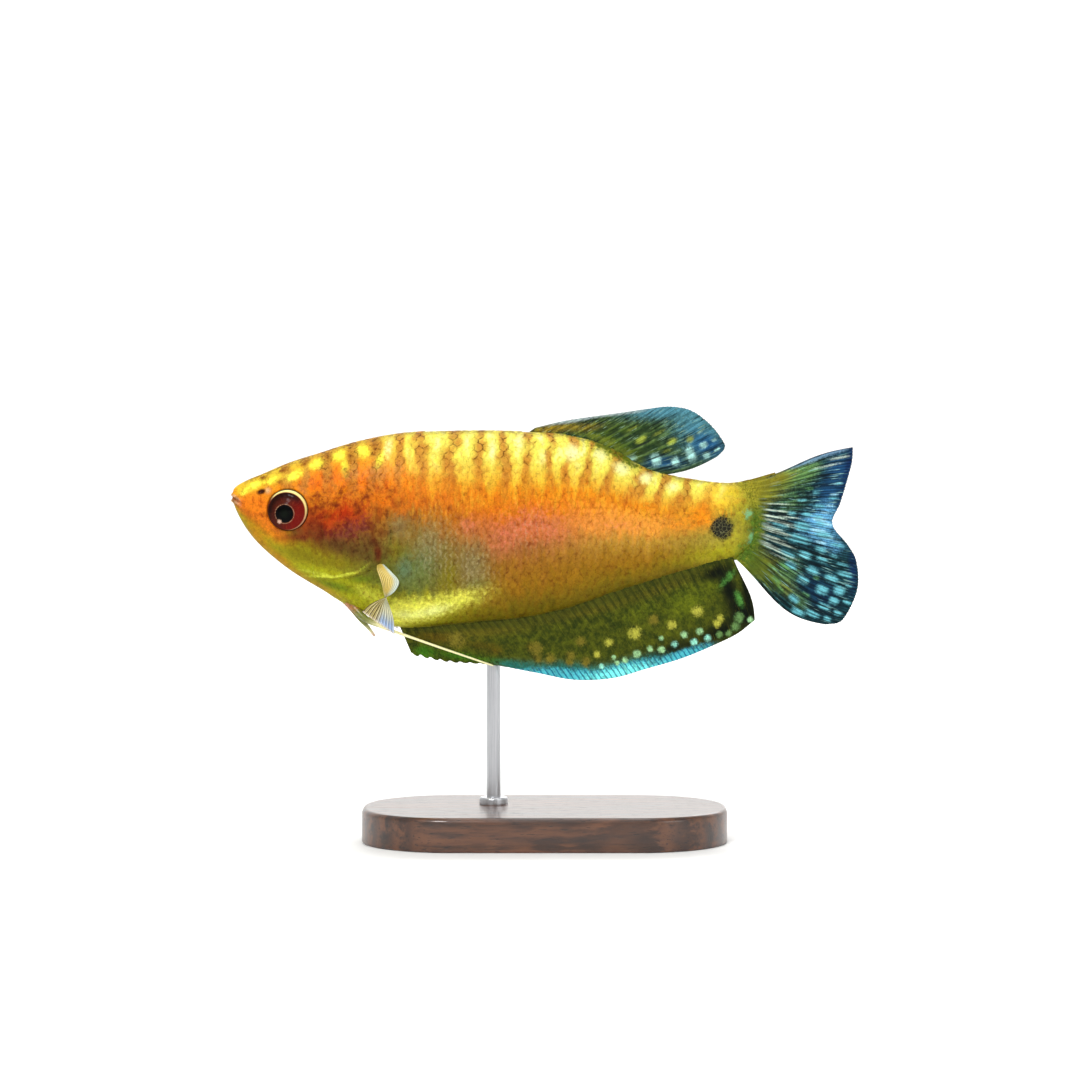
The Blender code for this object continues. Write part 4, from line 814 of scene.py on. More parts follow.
# Scales
scales = {
    "pitch": 1.46, "rowPitch": 1.38,     # steps along the body and up the flank, at size 1
    "halfLength": 1.22, "halfHeight": 1.10,
    "size": [(12.0, 0.66), (22.0, 0.85), (34.0, 1.0), (60.0, 1.0), (80.0, 0.85), (88.0, 0.7), (93.0, 0.42)],
    "lift": 0.065, "tilt": 0.055, "dome": 0.02, "rimDrop": 0.03, "sunk": 0.30,
    "stray": 0.07, "spread": (0.94, 1.08),   # off the even place, and the range of the sizes
    "rings": (0.4, 0.72, 0.92, 1.0), "sides": 14,
    "patch": 0.0015,                     # half of a scale's patch in the bake's map
    "eyeClear": 5.3, "firstX": 12.0, "lastX": 93.4, "arcSteps": 241, "seed": 7,
    "steepFrom": (17.0, -3.0),           # behind this x or under this z the gill cover's rim is steep
    "coverClear": (0.95, 0.15),          # how far the scales keep from that rim, on the cover and off it
    "throatFrom": (17.0, -7.5),          # no scales in front of this x under this z
}


def scaleSize(x):
    return np.interp(x, *np.array(scales["size"]).T)


def scaleMiddles():
    # Rows at even steps of arc up and down from the middle of the flank, columns at even steps
    # along the body, each second row set half a step back
    columns = [scales["firstX"]]
    while columns[-1] < scales["lastX"]:
        columns.append(columns[-1] + scales["pitch"] * scaleSize(columns[-1]))
    row = np.arange(-22, 23)
    fineAngle = np.linspace(0.0, math.pi, scales["arcSteps"])
    found = []
    for step in np.arange(0.0, len(columns) - 1, 0.5):
        x = float(np.interp(step, np.arange(len(columns)), columns))
        run = runAlong(bodyPoint(np.full(len(fineAngle), x), fineAngle))
        centre = run[len(run) // 2]
        mine = row[(row % 2 == 0) == (step % 1.0 == 0.0)]
        arc = centre - mine * scales["rowPitch"] * scaleSize(x)
        mine = mine[(arc > 0.4) & (arc < run[-1] - 0.5)]
        arc = centre - mine * scales["rowPitch"] * scaleSize(x)
        found.append(np.column_stack([np.full(len(arc), x), np.interp(arc, run, fineAngle),
                                      np.interp(arc, run, np.gradient(run, fineAngle))]))
    found = np.vstack(found)
    x, z = found[:, 0], bodyPoint(found[:, 0], found[:, 1])[:, 2]
    gap = np.hypot(x - eye["x"], z - eye["z"])
    cover = lineDistance(x, z, np.vstack([coverEdge, coverEdge[:1]]))
    steep = (x > scales["steepFrom"][0]) | (z < scales["steepFrom"][1])
    clear = np.where(insideOutline(x, z, coverEdge), *scales["coverClear"])
    keep = (gap > scales["eyeClear"]) & (pastTailBase(x, z) < 0.6) & ~(steep & (cover < clear))
    keep &= (x > scales["throatFrom"][0]) | (z > scales["throatFrom"][1])
    return found[keep]


def makeScales(name, side):
    # Each scale is a low dome on an oval, tilted so that its rear edge stands up and its front
    # is sunk in the skin: height = lift + tilt by the place along it, over the body's surface
    random = np.random.default_rng(scales["seed"])
    middles = scaleMiddles()
    count = len(middles)
    sides = scales["sides"]
    turn = fullTurn(sides)
    ring = np.array(scales["rings"])[:, None]
    p = np.concatenate([[0.0], (ring * np.cos(turn)).ravel(), [0.0]])
    q = np.concatenate([[0.0], (ring * np.sin(turn)).ravel(), [0.0]])
    reach = np.hypot(p, q)
    high = scales["lift"] + scales["tilt"] * p + scales["dome"] * (1 - reach ** 2)
    high -= scales["rimDrop"] * smooth((reach - 0.9) / 0.1)
    high[-1] = -scales["sunk"]
    size = scaleSize(middles[:, :1]) * random.uniform(*scales["spread"], (count, 1))
    tone = random.uniform(0.0, 1.0, (count, 1))
    stray = random.normal(0.0, scales["stray"], (count, 1)) * size
    x = middles[:, :1] + stray + size * scales["halfLength"] * p * np.where(p > 0, 1.0, 0.85)
    climb = size * scales["halfHeight"] * q * (1.0 - 0.14 * p * np.abs(p))
    angle = np.clip(middles[:, 1:2] - climb / np.maximum(middles[:, 2:], 2.0), -0.25, math.pi + 0.25)
    ground = bodyPoint(x, angle)
    high = high * size - skin["inset"] + relief(x, ground[..., 2])
    points = bodyPoint(x, angle, high)
    points[..., 1] *= side * stalkTaper(x, points[..., 2])
    per = len(p)
    ringStart = 1 + sides * (len(ring) - 1)
    start = (np.arange(count) * per)[:, None, None]
    quads = gridFaces(len(ring), sides, True, 1)[None] + start
    top = fanFaces(0, 1 + np.arange(sides))[None] + start
    under = fanFaces(per - 1, ringStart + np.arange(sides))[None] + start
    faces = [quads.reshape(-1, 4), top.reshape(-1, 3), under.reshape(-1, 3)]
    marks = bodyMarks(points[..., 0].ravel(), points[..., 2].ravel())
    marks["rim"] = np.broadcast_to(smooth((reach - 0.55) / 0.45) * smooth((p + 0.35) / 0.7), (count, per))
    marks["tone"] = np.broadcast_to(tone, (count, per))
    around = np.where(side < 0, middles[:, 1], 2 * math.pi - middles[:, 1]) / (2 * math.pi)
    root = np.column_stack([middles[:, 0] / bodyRows[-1, 0], around])[:, None]
    patch = root + scales["patch"] * np.column_stack([p, q])[None]
    newPiece(name, points, faces, skinMaterial, marks, {"OFBake": patch.reshape(-1, 2)})


makeScales("scales_left", -1.0)
makeScales("scales_right", 1.0)


# Eyes
def eyeFinish():
    glass = Finish("gouramiEye", Coat_Weight=0.06, Coat_Roughness=0.02, Roughness=0.4,
                   Specular_IOR_Level=0.03)
    x, _, z = glass.split(glass.place())
    dx, dz = x - eye["x"], z - eye["z"]

    def away(place):
        ex, ez = dx - place[0], dz - place[1]
        return (ex * ex + ez * ez) ** 0.5

    turn = glass.node("ShaderNodeMath", {"operation": "ARCTAN2"}, {0: dz, 1: dx})
    wheel = glass.join(turn.cosine() * 6.0, (turn - math.pi / 2).cosine() * 6.0, away((0, 0)) * 0.4)
    spokes = glass.noise(wheel, 2.2, 4.0, 0.6)
    pupil = away(eye["pupil"]) + (spokes - 0.5) * 0.22
    iris = away(eye["iris"])
    colour = glass.mix(hue(0.27, 0.09, 0.05), hue(0.41, 0.06, 0.04), (dx - dz * 0.4).ramp(-1.0, 2.4))
    colour = glass.mix(colour, hue(0.56, 0.20, 0.07), spokes.ramp(0.5, 0.75) * 0.5)
    shade = iris.ramp(1.7, 2.9) * (dz - dx * 0.6).ramp(-1.4, 1.8)
    colour = glass.mix(colour, hue(0.10, 0.03, 0.02), shade * 0.9)
    ring = iris.ramp(eye["iris"][2] - 0.04, eye["iris"][2] + 0.08)
    cream = glass.mix(hue(0.90, 0.70, 0.56), hue(0.95, 0.90, 0.58), (dz + dx * 0.5).ramp(-0.6, 1.6))
    # The cream ring turns brownish at its inner edge: painted shade where the ring drops to the iris
    cream = glass.mix(hue(0.60, 0.34, 0.18), cream, iris.ramp(eye["iris"][2], eye["iris"][2] + 0.22))
    cream = glass.mix(hue(0.42, 0.17, 0.08), cream, (dx + dz * 0.45 - 0.5 * spokes).ramp(-2.8, -1.2))
    colour = glass.mix(colour, cream, ring)
    colour = glass.mix(colour, hue(0.20, 0.10, 0.05), away((0.0, 0.0)).ramp(3.42, 3.56))
    halo = (pupil - eye["pupil"][2] - 0.06).absolute().ramp(0.02, 0.10, 1.0, 0.0)
    colour = glass.mix(colour, hue(0.66, 0.52, 0.40), halo * spokes.ramp(0.40, 0.54) * 0.7)
    dark = glass.mix(hue(0.035, 0.06, 0.03), hue(0.01, 0.01, 0.01), pupil.ramp(0.2, 1.1))
    colour = glass.mix(colour, dark, pupil.ramp(eye["pupil"][2] - 0.10, eye["pupil"][2], 1.0, 0.0))
    # A pale patch at the lower front of the eye: a painted highlight
    gleam = (away(eye["gleam"]) + (spokes - 0.5) * 0.9).ramp(0.18, 0.48, 1.0, 0.0)
    colour = glass.mix(colour, hue(0.84, 0.68, 0.58), gleam * 0.85)
    return glass.wear(colour, None, spokes * iris.ramp(1.7, 2.0), 0.00008, 0.35)


def makeEye(name, side, finish):
    # A flat ball: its front has a raised ring, a shallow dish for the iris and a domed pupil
    lean = np.linspace(0.0, math.pi, eye["rings"] + 2)[1:-1, None]
    turn = fullTurn(eye["sides"])[None, :]
    radius = eye["radius"] * np.sin(lean) * np.ones_like(turn)
    out = eye["halfDepth"] * np.cos(lean) * np.ones_like(turn)
    u, w = radius * np.cos(turn), radius * np.sin(turn)
    fromIris = np.hypot(u - eye["iris"][0], w - eye["iris"][1])
    deep, dishRadius, dishWidth = eye["dish"]
    high, ringRadius, ringWidth = eye["ring"]
    dish = -deep * np.exp(-((fromIris - dishRadius) / dishWidth) ** 2)
    ring = high * np.exp(-((radius - ringRadius) / ringWidth) ** 2)
    out = out + np.where(lean < math.pi / 2, dish + ring, 0.0)
    tips = [(0.0, eye["halfDepth"], 0.0), (0.0, -eye["halfDepth"], 0.0)]
    points, faces = closedRings(np.stack([u, out, w], -1), tips)
    u, out, w = points.T
    cosine, sine = math.cos(math.radians(eye["turn"])), math.sin(math.radians(eye["turn"]))
    points = np.column_stack([u * cosine - out * sine, u * sine + out * cosine, w])
    points += (eye["x"], eye["middleY"], eye["z"])
    points[:, 1] *= side
    piece = newPiece(name, points, faces, finish)
    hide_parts(name)


eyeMaterial = eyeFinish()
makeEye("eye_left", -1.0, eyeMaterial)
makeEye("eye_right", 1.0, eyeMaterial)

# Fins in the middle plane
dorsal = {
    "base": (51.6, 75.0), "sunk": -0.7, "rays": 15, "perRay": 14, "rows": 90, "lean": 0.06,
    "margin": [(53.4, 19.7), (58.0, 20.8), (62.0, 21.45), (67.5, 22.2), (73.0, 23.0), (77.0, 23.4),
               (80.7, 22.7), (84.0, 20.3), (86.2, 17.5), (86.6, 16.1), (85.3, 14.6)],
    "bend": lambda s, v: -0.65 * s ** 2 * np.sin(math.pi * v),
    "wave": lambda s: 0.5 * np.sin(2.2 * math.pi * s),
    "membrane": 0.10, "ray": 0.16, "root": 0.5, "split": (0.45, 0.78), "notch": 0.12, "scallop": 0.0,
}
anal = {
    "base": (29.4, 88.0), "sunk": 0.7, "rays": 44, "perRay": 10, "rows": 72, "lean": 0.07,
    "margin": [(31.8, -20.3), (38.1, -21.5), (45.8, -22.0), (53.3, -23.3), (60.3, -24.6), (67.0, -24.3),
               (73.1, -22.6), (79.1, -20.8), (84.3, -18.7), (88.7, -16.6), (91.9, -14.1)],
    "bend": lambda s, v: (0.35 * np.sin(math.pi * s) * np.sin(math.pi * v)
                          + 0.7 * s ** 8 * np.sin(math.pi * v ** 1.6)),
    "wave": lambda s: 0.35 * np.sin(5.0 * math.pi * s) * s,
    "membrane": 0.10, "ray": 0.15, "root": 0.5, "split": (0.55, 2.0), "notch": 0.06, "scallop": 0.55,
}
tail = {
    # The base lies inside the stalk, so that the body flows into the fin
    "base": [(88.6, 9.9), (91.0, 7.6), (91.9, 3.6), (91.1, -0.6), (88.4, -3.3)],
    "rays": 16, "perRay": 18, "rows": 130, "lean": 0.0,
    "margin": [(109.0, 16.3), (108.9, 13.8), (108.2, 10.9), (106.9, 6.5), (105.5, 2.8), (108.2, -0.9),
               (109.7, -3.9), (109.8, -8.8), (107.3, -14.0), (104.4, -14.9)],
    "bend": lambda s, v: (-2.1 * s ** 4 * np.sin(math.pi * v ** 1.5)
                          - 0.45 * (1 - s) ** 5 * np.sin(2 * math.pi * v)),
    "wave": lambda s: 0.6 * np.sin(2.0 * math.pi * s),
    "membrane": 0.11, "ray": 0.17, "root": 0.65, "split": (0.22, 0.55), "notch": 0.10, "scallop": 0.0,
}


# A ridge's width, and for each split how far the branches part, over what share of the length, and
# what the ridges lose in width
rayWidth = 0.16
raySplits = [(0.23, 0.3, 0.08), (0.11, 0.25, 0.02)]


def rayHeight(phase, v, split):
    # One ridge in the middle of each unit of phase, which parts in two past the first split
    # and in four past the second, each ridge a bell across the ray
    across = np.abs(phase - np.floor(phase) - 0.5)
    width = rayWidth
    for start, (part, over, loss) in zip(split, raySplits):
        opened = smooth((v - start) / over)
        across = np.abs(across - part * opened)
        width = width - loss * opened
    return np.exp(-(across / width) ** 2)


def closedSheet(near, far):
    # Two grids of points and the strip that joins their rims
    rows, columns = near.shape[:2]
    points = np.vstack([near.reshape(-1, 3), far.reshape(-1, 3)])
    number = np.arange(rows * columns).reshape(rows, columns)
    rim = np.concatenate([number[0], number[1:, -1], number[-1, -2::-1], number[-2:0:-1, 0]])
    strip = np.stack([rim, np.roll(rim, -1), np.roll(rim, -1) + rows * columns, rim + rows * columns], -1)
    return points, [gridFaces(rows, columns), gridFaces(rows, columns, start=rows * columns), strip]


def sheetMarks(ridge, v, across, others):
    # The marks of the rays after any others, for both faces of a sheet
    marks = {**others, "ray": ridge, "along": v, "across": across}
    return {key: np.tile(np.broadcast_to(value, ridge.shape).ravel(), 2) for key, value in marks.items()}


def finGrid(fin, base):
    # Straight rays from the base to the margin, bent across their length, by share s along the
    # base and v along the ray; returns the flat grid, s, v and the rays' ridges
    columns = fin["rays"] * fin["perRay"] + 1
    s = np.linspace(0.0, 1.0, columns)
    v = np.linspace(0.0, 1.0, fin["rows"])[None, :]
    roots = evenly(base, 600)
    margin = evenly(curve(fin["margin"]), 600)
    at = np.linspace(0.0, 1.0, 600)
    tips = np.clip(s + fin["lean"] * np.sin(math.pi * s), 0.0, 1.0)
    start = np.column_stack([np.interp(s, at, column) for column in roots.T])
    along = np.column_stack([np.interp(tips, at, column) for column in margin.T]) - start
    length = np.linalg.norm(along, axis=1)
    ridge = rayHeight((s * fin["rays"])[:, None], v, fin["split"])
    between = 0.5 + 0.5 * np.cos(2 * math.pi * s * fin["rays"])
    short = fin["scallop"] * np.clip(1 - s / 0.25, 0, 1) * between + fin["notch"] * (1 - ridge[:, -1])
    along *= (1.0 - short / length)[:, None]
    across = np.column_stack([-along[:, 1], along[:, 0]]) / np.linalg.norm(along, axis=1)[:, None]
    flat = start[:, None] + along[:, None] * v[..., None]
    return flat + across[:, None] * fin["bend"](s[:, None], v)[..., None], s[:, None], v, ridge


def makeFin(name, fin, base, finish, washes):
    # Each face of the fin is the flat grid moved out by the half thickness and swayed sideways
    flat, s, v, ridge = finGrid(fin, base)
    half = fin["membrane"] * (1 - 0.5 * v) + fin["ray"] * ridge * (1 - 0.72 * v) + fin["root"] * (1 - v) ** 7
    half = np.minimum(half, 0.05 + 3.0 * (1 - v))
    sway = fin["wave"](s) * v ** 2
    near = np.dstack([flat[..., 0], sway - half, flat[..., 1]])
    far = np.dstack([flat[..., 0], sway + half, flat[..., 1]])
    points, faces = closedSheet(near, far)
    step = np.gradient(flat, axis=1)
    turned = {}
    for key, wash in washes.items():
        turned[key] = dict(wash)
        if wash.get("alongRays"):
            places = []
            for place in wash["at"]:
                nearest = np.hypot(flat[..., 0] - place[0], flat[..., 1] - place[1]).argmin()
                dx, dz = step.reshape(-1, 2)[nearest]
                places.append(place[:4] + (math.degrees(math.atan2(dz, dx)), place[5]))
            turned[key]["at"] = places
    marks = sheetMarks(ridge, v, s * fin["rays"], washMarks(flat[..., 0], flat[..., 1], turned))
    piece = newPiece(name, points, faces, finish, marks)
    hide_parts(name)


def spots(*places):  # round places of full strength, from x, z and radius
    return [(x, z, r, r, 0.0, 1.0) for x, z, r in places]


dorsalWashes = {
    "topBlue": {"colour": (0.30, 0.53, 0.60), "grain": 1.6, "at": [
        (75.0, 22.6, 7.0, 1.6, 4, 0.85), (81.5, 19.5, 5.0, 4.5, -40, 0.8)]},
    "frontEdge": {"colour": (0.60, 0.66, 0.66), "edge": 0.8, "grain": 1.2, "at": [
        (60.0, 21.0, 6.5, 0.42, 10, 0.9), (69.0, 22.3, 4.0, 0.36, 7, 0.7)]},
    "rearNavy": {"colour": (0.11, 0.33, 0.52), "at": [
        (83.5, 16.6, 4.0, 2.6, -20, 0.8), (76.0, 13.6, 5.0, 1.4, 0, 0.7)]},
    "baseOlive": {"colour": (0.60, 0.50, 0.12), "grain": 1.0, "at": [
        (56.5, 19.5, 4.5, 0.8, 6, 0.85), (62.5, 19.6, 3.5, 1.0, 6, 0.5)]},
    "baseGreen": {"colour": (0.28, 0.36, 0.07), "grain": 1.6, "at": [
        (66.0, 17.4, 3.4, 1.2, -24, 0.9), (70.0, 15.2, 3.2, 1.2, -28, 0.9), (68.0, 19.4, 3.4, 1.4, 0, 0.5)]},
    "lime": {"colour": (0.64, 0.70, 0.26), "edge": 0.7, "grain": 1.6, "alongRays": True, "at": [
        (71.8, 17.5, 1.0, 0.5, 0, 0.85), (77.3, 17.3, 0.9, 0.55, 0, 0.8), (80.4, 17.7, 0.8, 0.6, 0, 0.65),
        (75.0, 18.8, 1.2, 0.3, 0, 0.5), (70.5, 19.6, 1.2, 0.3, 0, 0.45), (76.4, 15.6, 0.8, 0.3, 0, 0.5)]},
    "palest": {"colour": (0.66, 0.87, 0.84), "edge": 0.85, "power": 3.0, "grain": 2.0, "alongRays": True,
               "at": [
        (74.5, 14.0, 0.75, 0.95, 0, 0.95), (77.9, 13.7, 0.62, 0.75, 0, 0.95), (80.5, 15.1, 0.7, 1.2, 0, 0.95),
        (82.8, 16.6, 0.62, 0.5, 0, 0.9), (83.4, 14.9, 0.6, 0.5, 0, 0.85), (85.2, 15.9, 0.5, 0.26, 0, 0.85),
        (84.7, 17.5, 0.45, 0.22, 0, 0.7), (82.1, 18.9, 0.5, 0.3, 0, 0.5), (70.0, 14.3, 1.0, 0.6, 0, 0.7)]},
    "flesh": {"colour": (0.44, 0.49, 0.15), "grain": 3.2, "at": [
        (62.6, 18.4, 3.0, 0.6, -12, 0.6), (66.2, 17.0, 2.6, 0.9, -24, 0.8),
        (69.4, 15.2, 2.2, 0.8, -30, 0.7)]},
}
analWashes = {
    # Darker olive on the fin next to the belly: partly its own colour, partly painted shade cast by the belly
    "nearBody": {"colour": (0.36, 0.33, 0.07), "grain": 1.2, "at": [
        (44.0, -15.9, 9.0, 1.5, 4, 0.8), (62.0, -12.4, 9.0, 1.2, 12, 0.7), (76.0, -8.2, 8.0, 1.2, 18, 0.6)]},
    "foreBrown": {"colour": (0.33, 0.27, 0.04), "grain": 2.0, "at": [
        (36.0, -17.0, 5.0, 1.4, -6, 0.8), (44.5, -18.6, 4.0, 1.1, -6, 0.55), (52.6, -18.8, 1.0, 1.0, 0, 0.6),
        (46.4, -19.6, 1.4, 0.6, 0, 0.5)]},
    "foreGreen": {"colour": (0.22, 0.42, 0.08), "grain": 1.4, "at": [
        (34.0, -19.6, 2.0, 1.2, -10, 0.9), (40.0, -20.4, 4.0, 0.9, -8, 0.7),
        (47.0, -21.2, 4.0, 0.6, -6, 0.5)]},
    "rearOlive": {"colour": (0.37, 0.41, 0.06), "grain": 1.2, "at": [
        (80.0, -11.0, 4.0, 3.0, 30, 0.65), (72.0, -12.6, 4.5, 2.2, 15, 0.4),
        (84.6, -8.0, 2.0, 1.6, 40, 0.5)]},
    "rearBlack": {"colour": (0.02, 0.04, 0.02), "at": [
        (87.3, -8.6, 1.6, 5.0, 20, 0.9), (89.8, -12.5, 2.4, 3.5, 30, 0.95), (84.8, -5.8, 3.0, 1.4, 20, 0.9),
        (86.0, -16.0, 4.5, 2.0, 25, 0.9), (77.0, -19.2, 7.0, 1.4, 18, 0.75),
        (90.4, -9.0, 0.7, 5.0, 15, 0.9)]},
    "teal": {"colour": (0.12, 0.40, 0.36), "grain": 1.6, "at": [
        (50.0, -22.0, 4.0, 0.9, -8, 0.85), (59.0, -22.6, 7.0, 1.4, -5, 0.8),
        (70.0, -21.6, 8.0, 1.3, 12, 0.6)]},
    "skyBand": {"colour": (0.29, 0.69, 0.74), "edge": 0.6, "grain": 2.0, "at": [
        (59.4, -24.0, 8.0, 1.35, -4, 0.95), (70.0, -23.0, 7.4, 1.5, 13, 0.95),
        (79.3, -20.3, 5.0, 1.0, 20, 0.92), (50.4, -22.9, 2.5, 0.35, -8, 0.6)]},
    "skyPale": {"colour": (0.50, 0.98, 0.96), "grain": 1.4, "at": [(68.5, -23.3, 7.5, 1.2, 11, 0.95)]},
    "sun": {"colour": (0.66, 0.65, 0.24), "edge": 0.9, "grain": 2.8, "at":
        spots((70.9, -16.3, 0.95), (81.8, -12.5, 0.85), (77.3, -14.9, 0.7), (66.3, -18.0, 0.65),
              (64.2, -20.1, 0.55), (85.2, -14.7, 0.6), (85.8, -13.7, 0.6))},
    "amber": {"colour": (0.43, 0.39, 0.12), "edge": 1.1, "grain": 3.2, "at":
        spots((74.2, -13.9, 0.8), (53.5, -19.1, 1.0), (61.4, -17.8, 0.7), (59.5, -20.3, 0.7),
              (56.0, -20.9, 0.8), (53.9, -20.9, 0.6), (59.3, -21.5, 0.6), (62.3, -21.4, 0.7),
              (39.5, -17.6, 1.2))},
    "leaf": {"colour": (0.27, 0.48, 0.20), "edge": 0.9, "grain": 2.8, "at": [
        (89.1, -10.3, 0.6, 1.4, 22, 0.8), (87.3, -6.4, 0.6, 1.4, -40, 0.85),
        (86.0, -8.0, 0.6, 1.2, -40, 0.3)]},
    "mint": {"colour": (0.58, 0.76, 0.54), "edge": 0.8, "grain": 2.6, "at":
        spots((91.1, -14.0, 0.5), (82.2, -16.0, 0.55), (79.5, -16.6, 0.55), (75.5, -19.3, 0.55),
              (73.5, -19.1, 0.45), (71.2, -20.0, 0.6), (69.1, -21.1, 0.5), (67.1, -20.6, 0.35),
              (67.7, -21.6, 0.4), (75.4, -17.3, 0.4))},
    "mintDim": {"colour": (0.36, 0.50, 0.28), "edge": 0.9, "grain": 2.6, "at":
        spots((89.1, -13.6, 0.75), (88.5, -15.2, 0.65), (87.3, -16.4, 0.5), (85.7, -16.6, 0.5))},
    "ice": {"colour": (0.55, 0.83, 0.74), "edge": 0.9, "grain": 2.8, "at":
        spots((83.6, -17.2, 0.5), (81.2, -17.9, 0.52), (77.8, -18.3, 0.52), (65.0, -22.2, 0.4))},
    "flesh": {"colour": (0.28, 0.28, 0.06), "grain": 2.6, "at": [
        (38.0, -15.4, 8.0, 0.8, 4, 0.8), (50.0, -14.4, 8.0, 0.9, 7, 0.85), (61.0, -12.0, 6.0, 0.9, 15, 0.85),
        (69.0, -9.3, 6.0, 0.9, 18, 0.85), (79.0, -6.2, 6.0, 0.8, 16, 0.8)]},
}
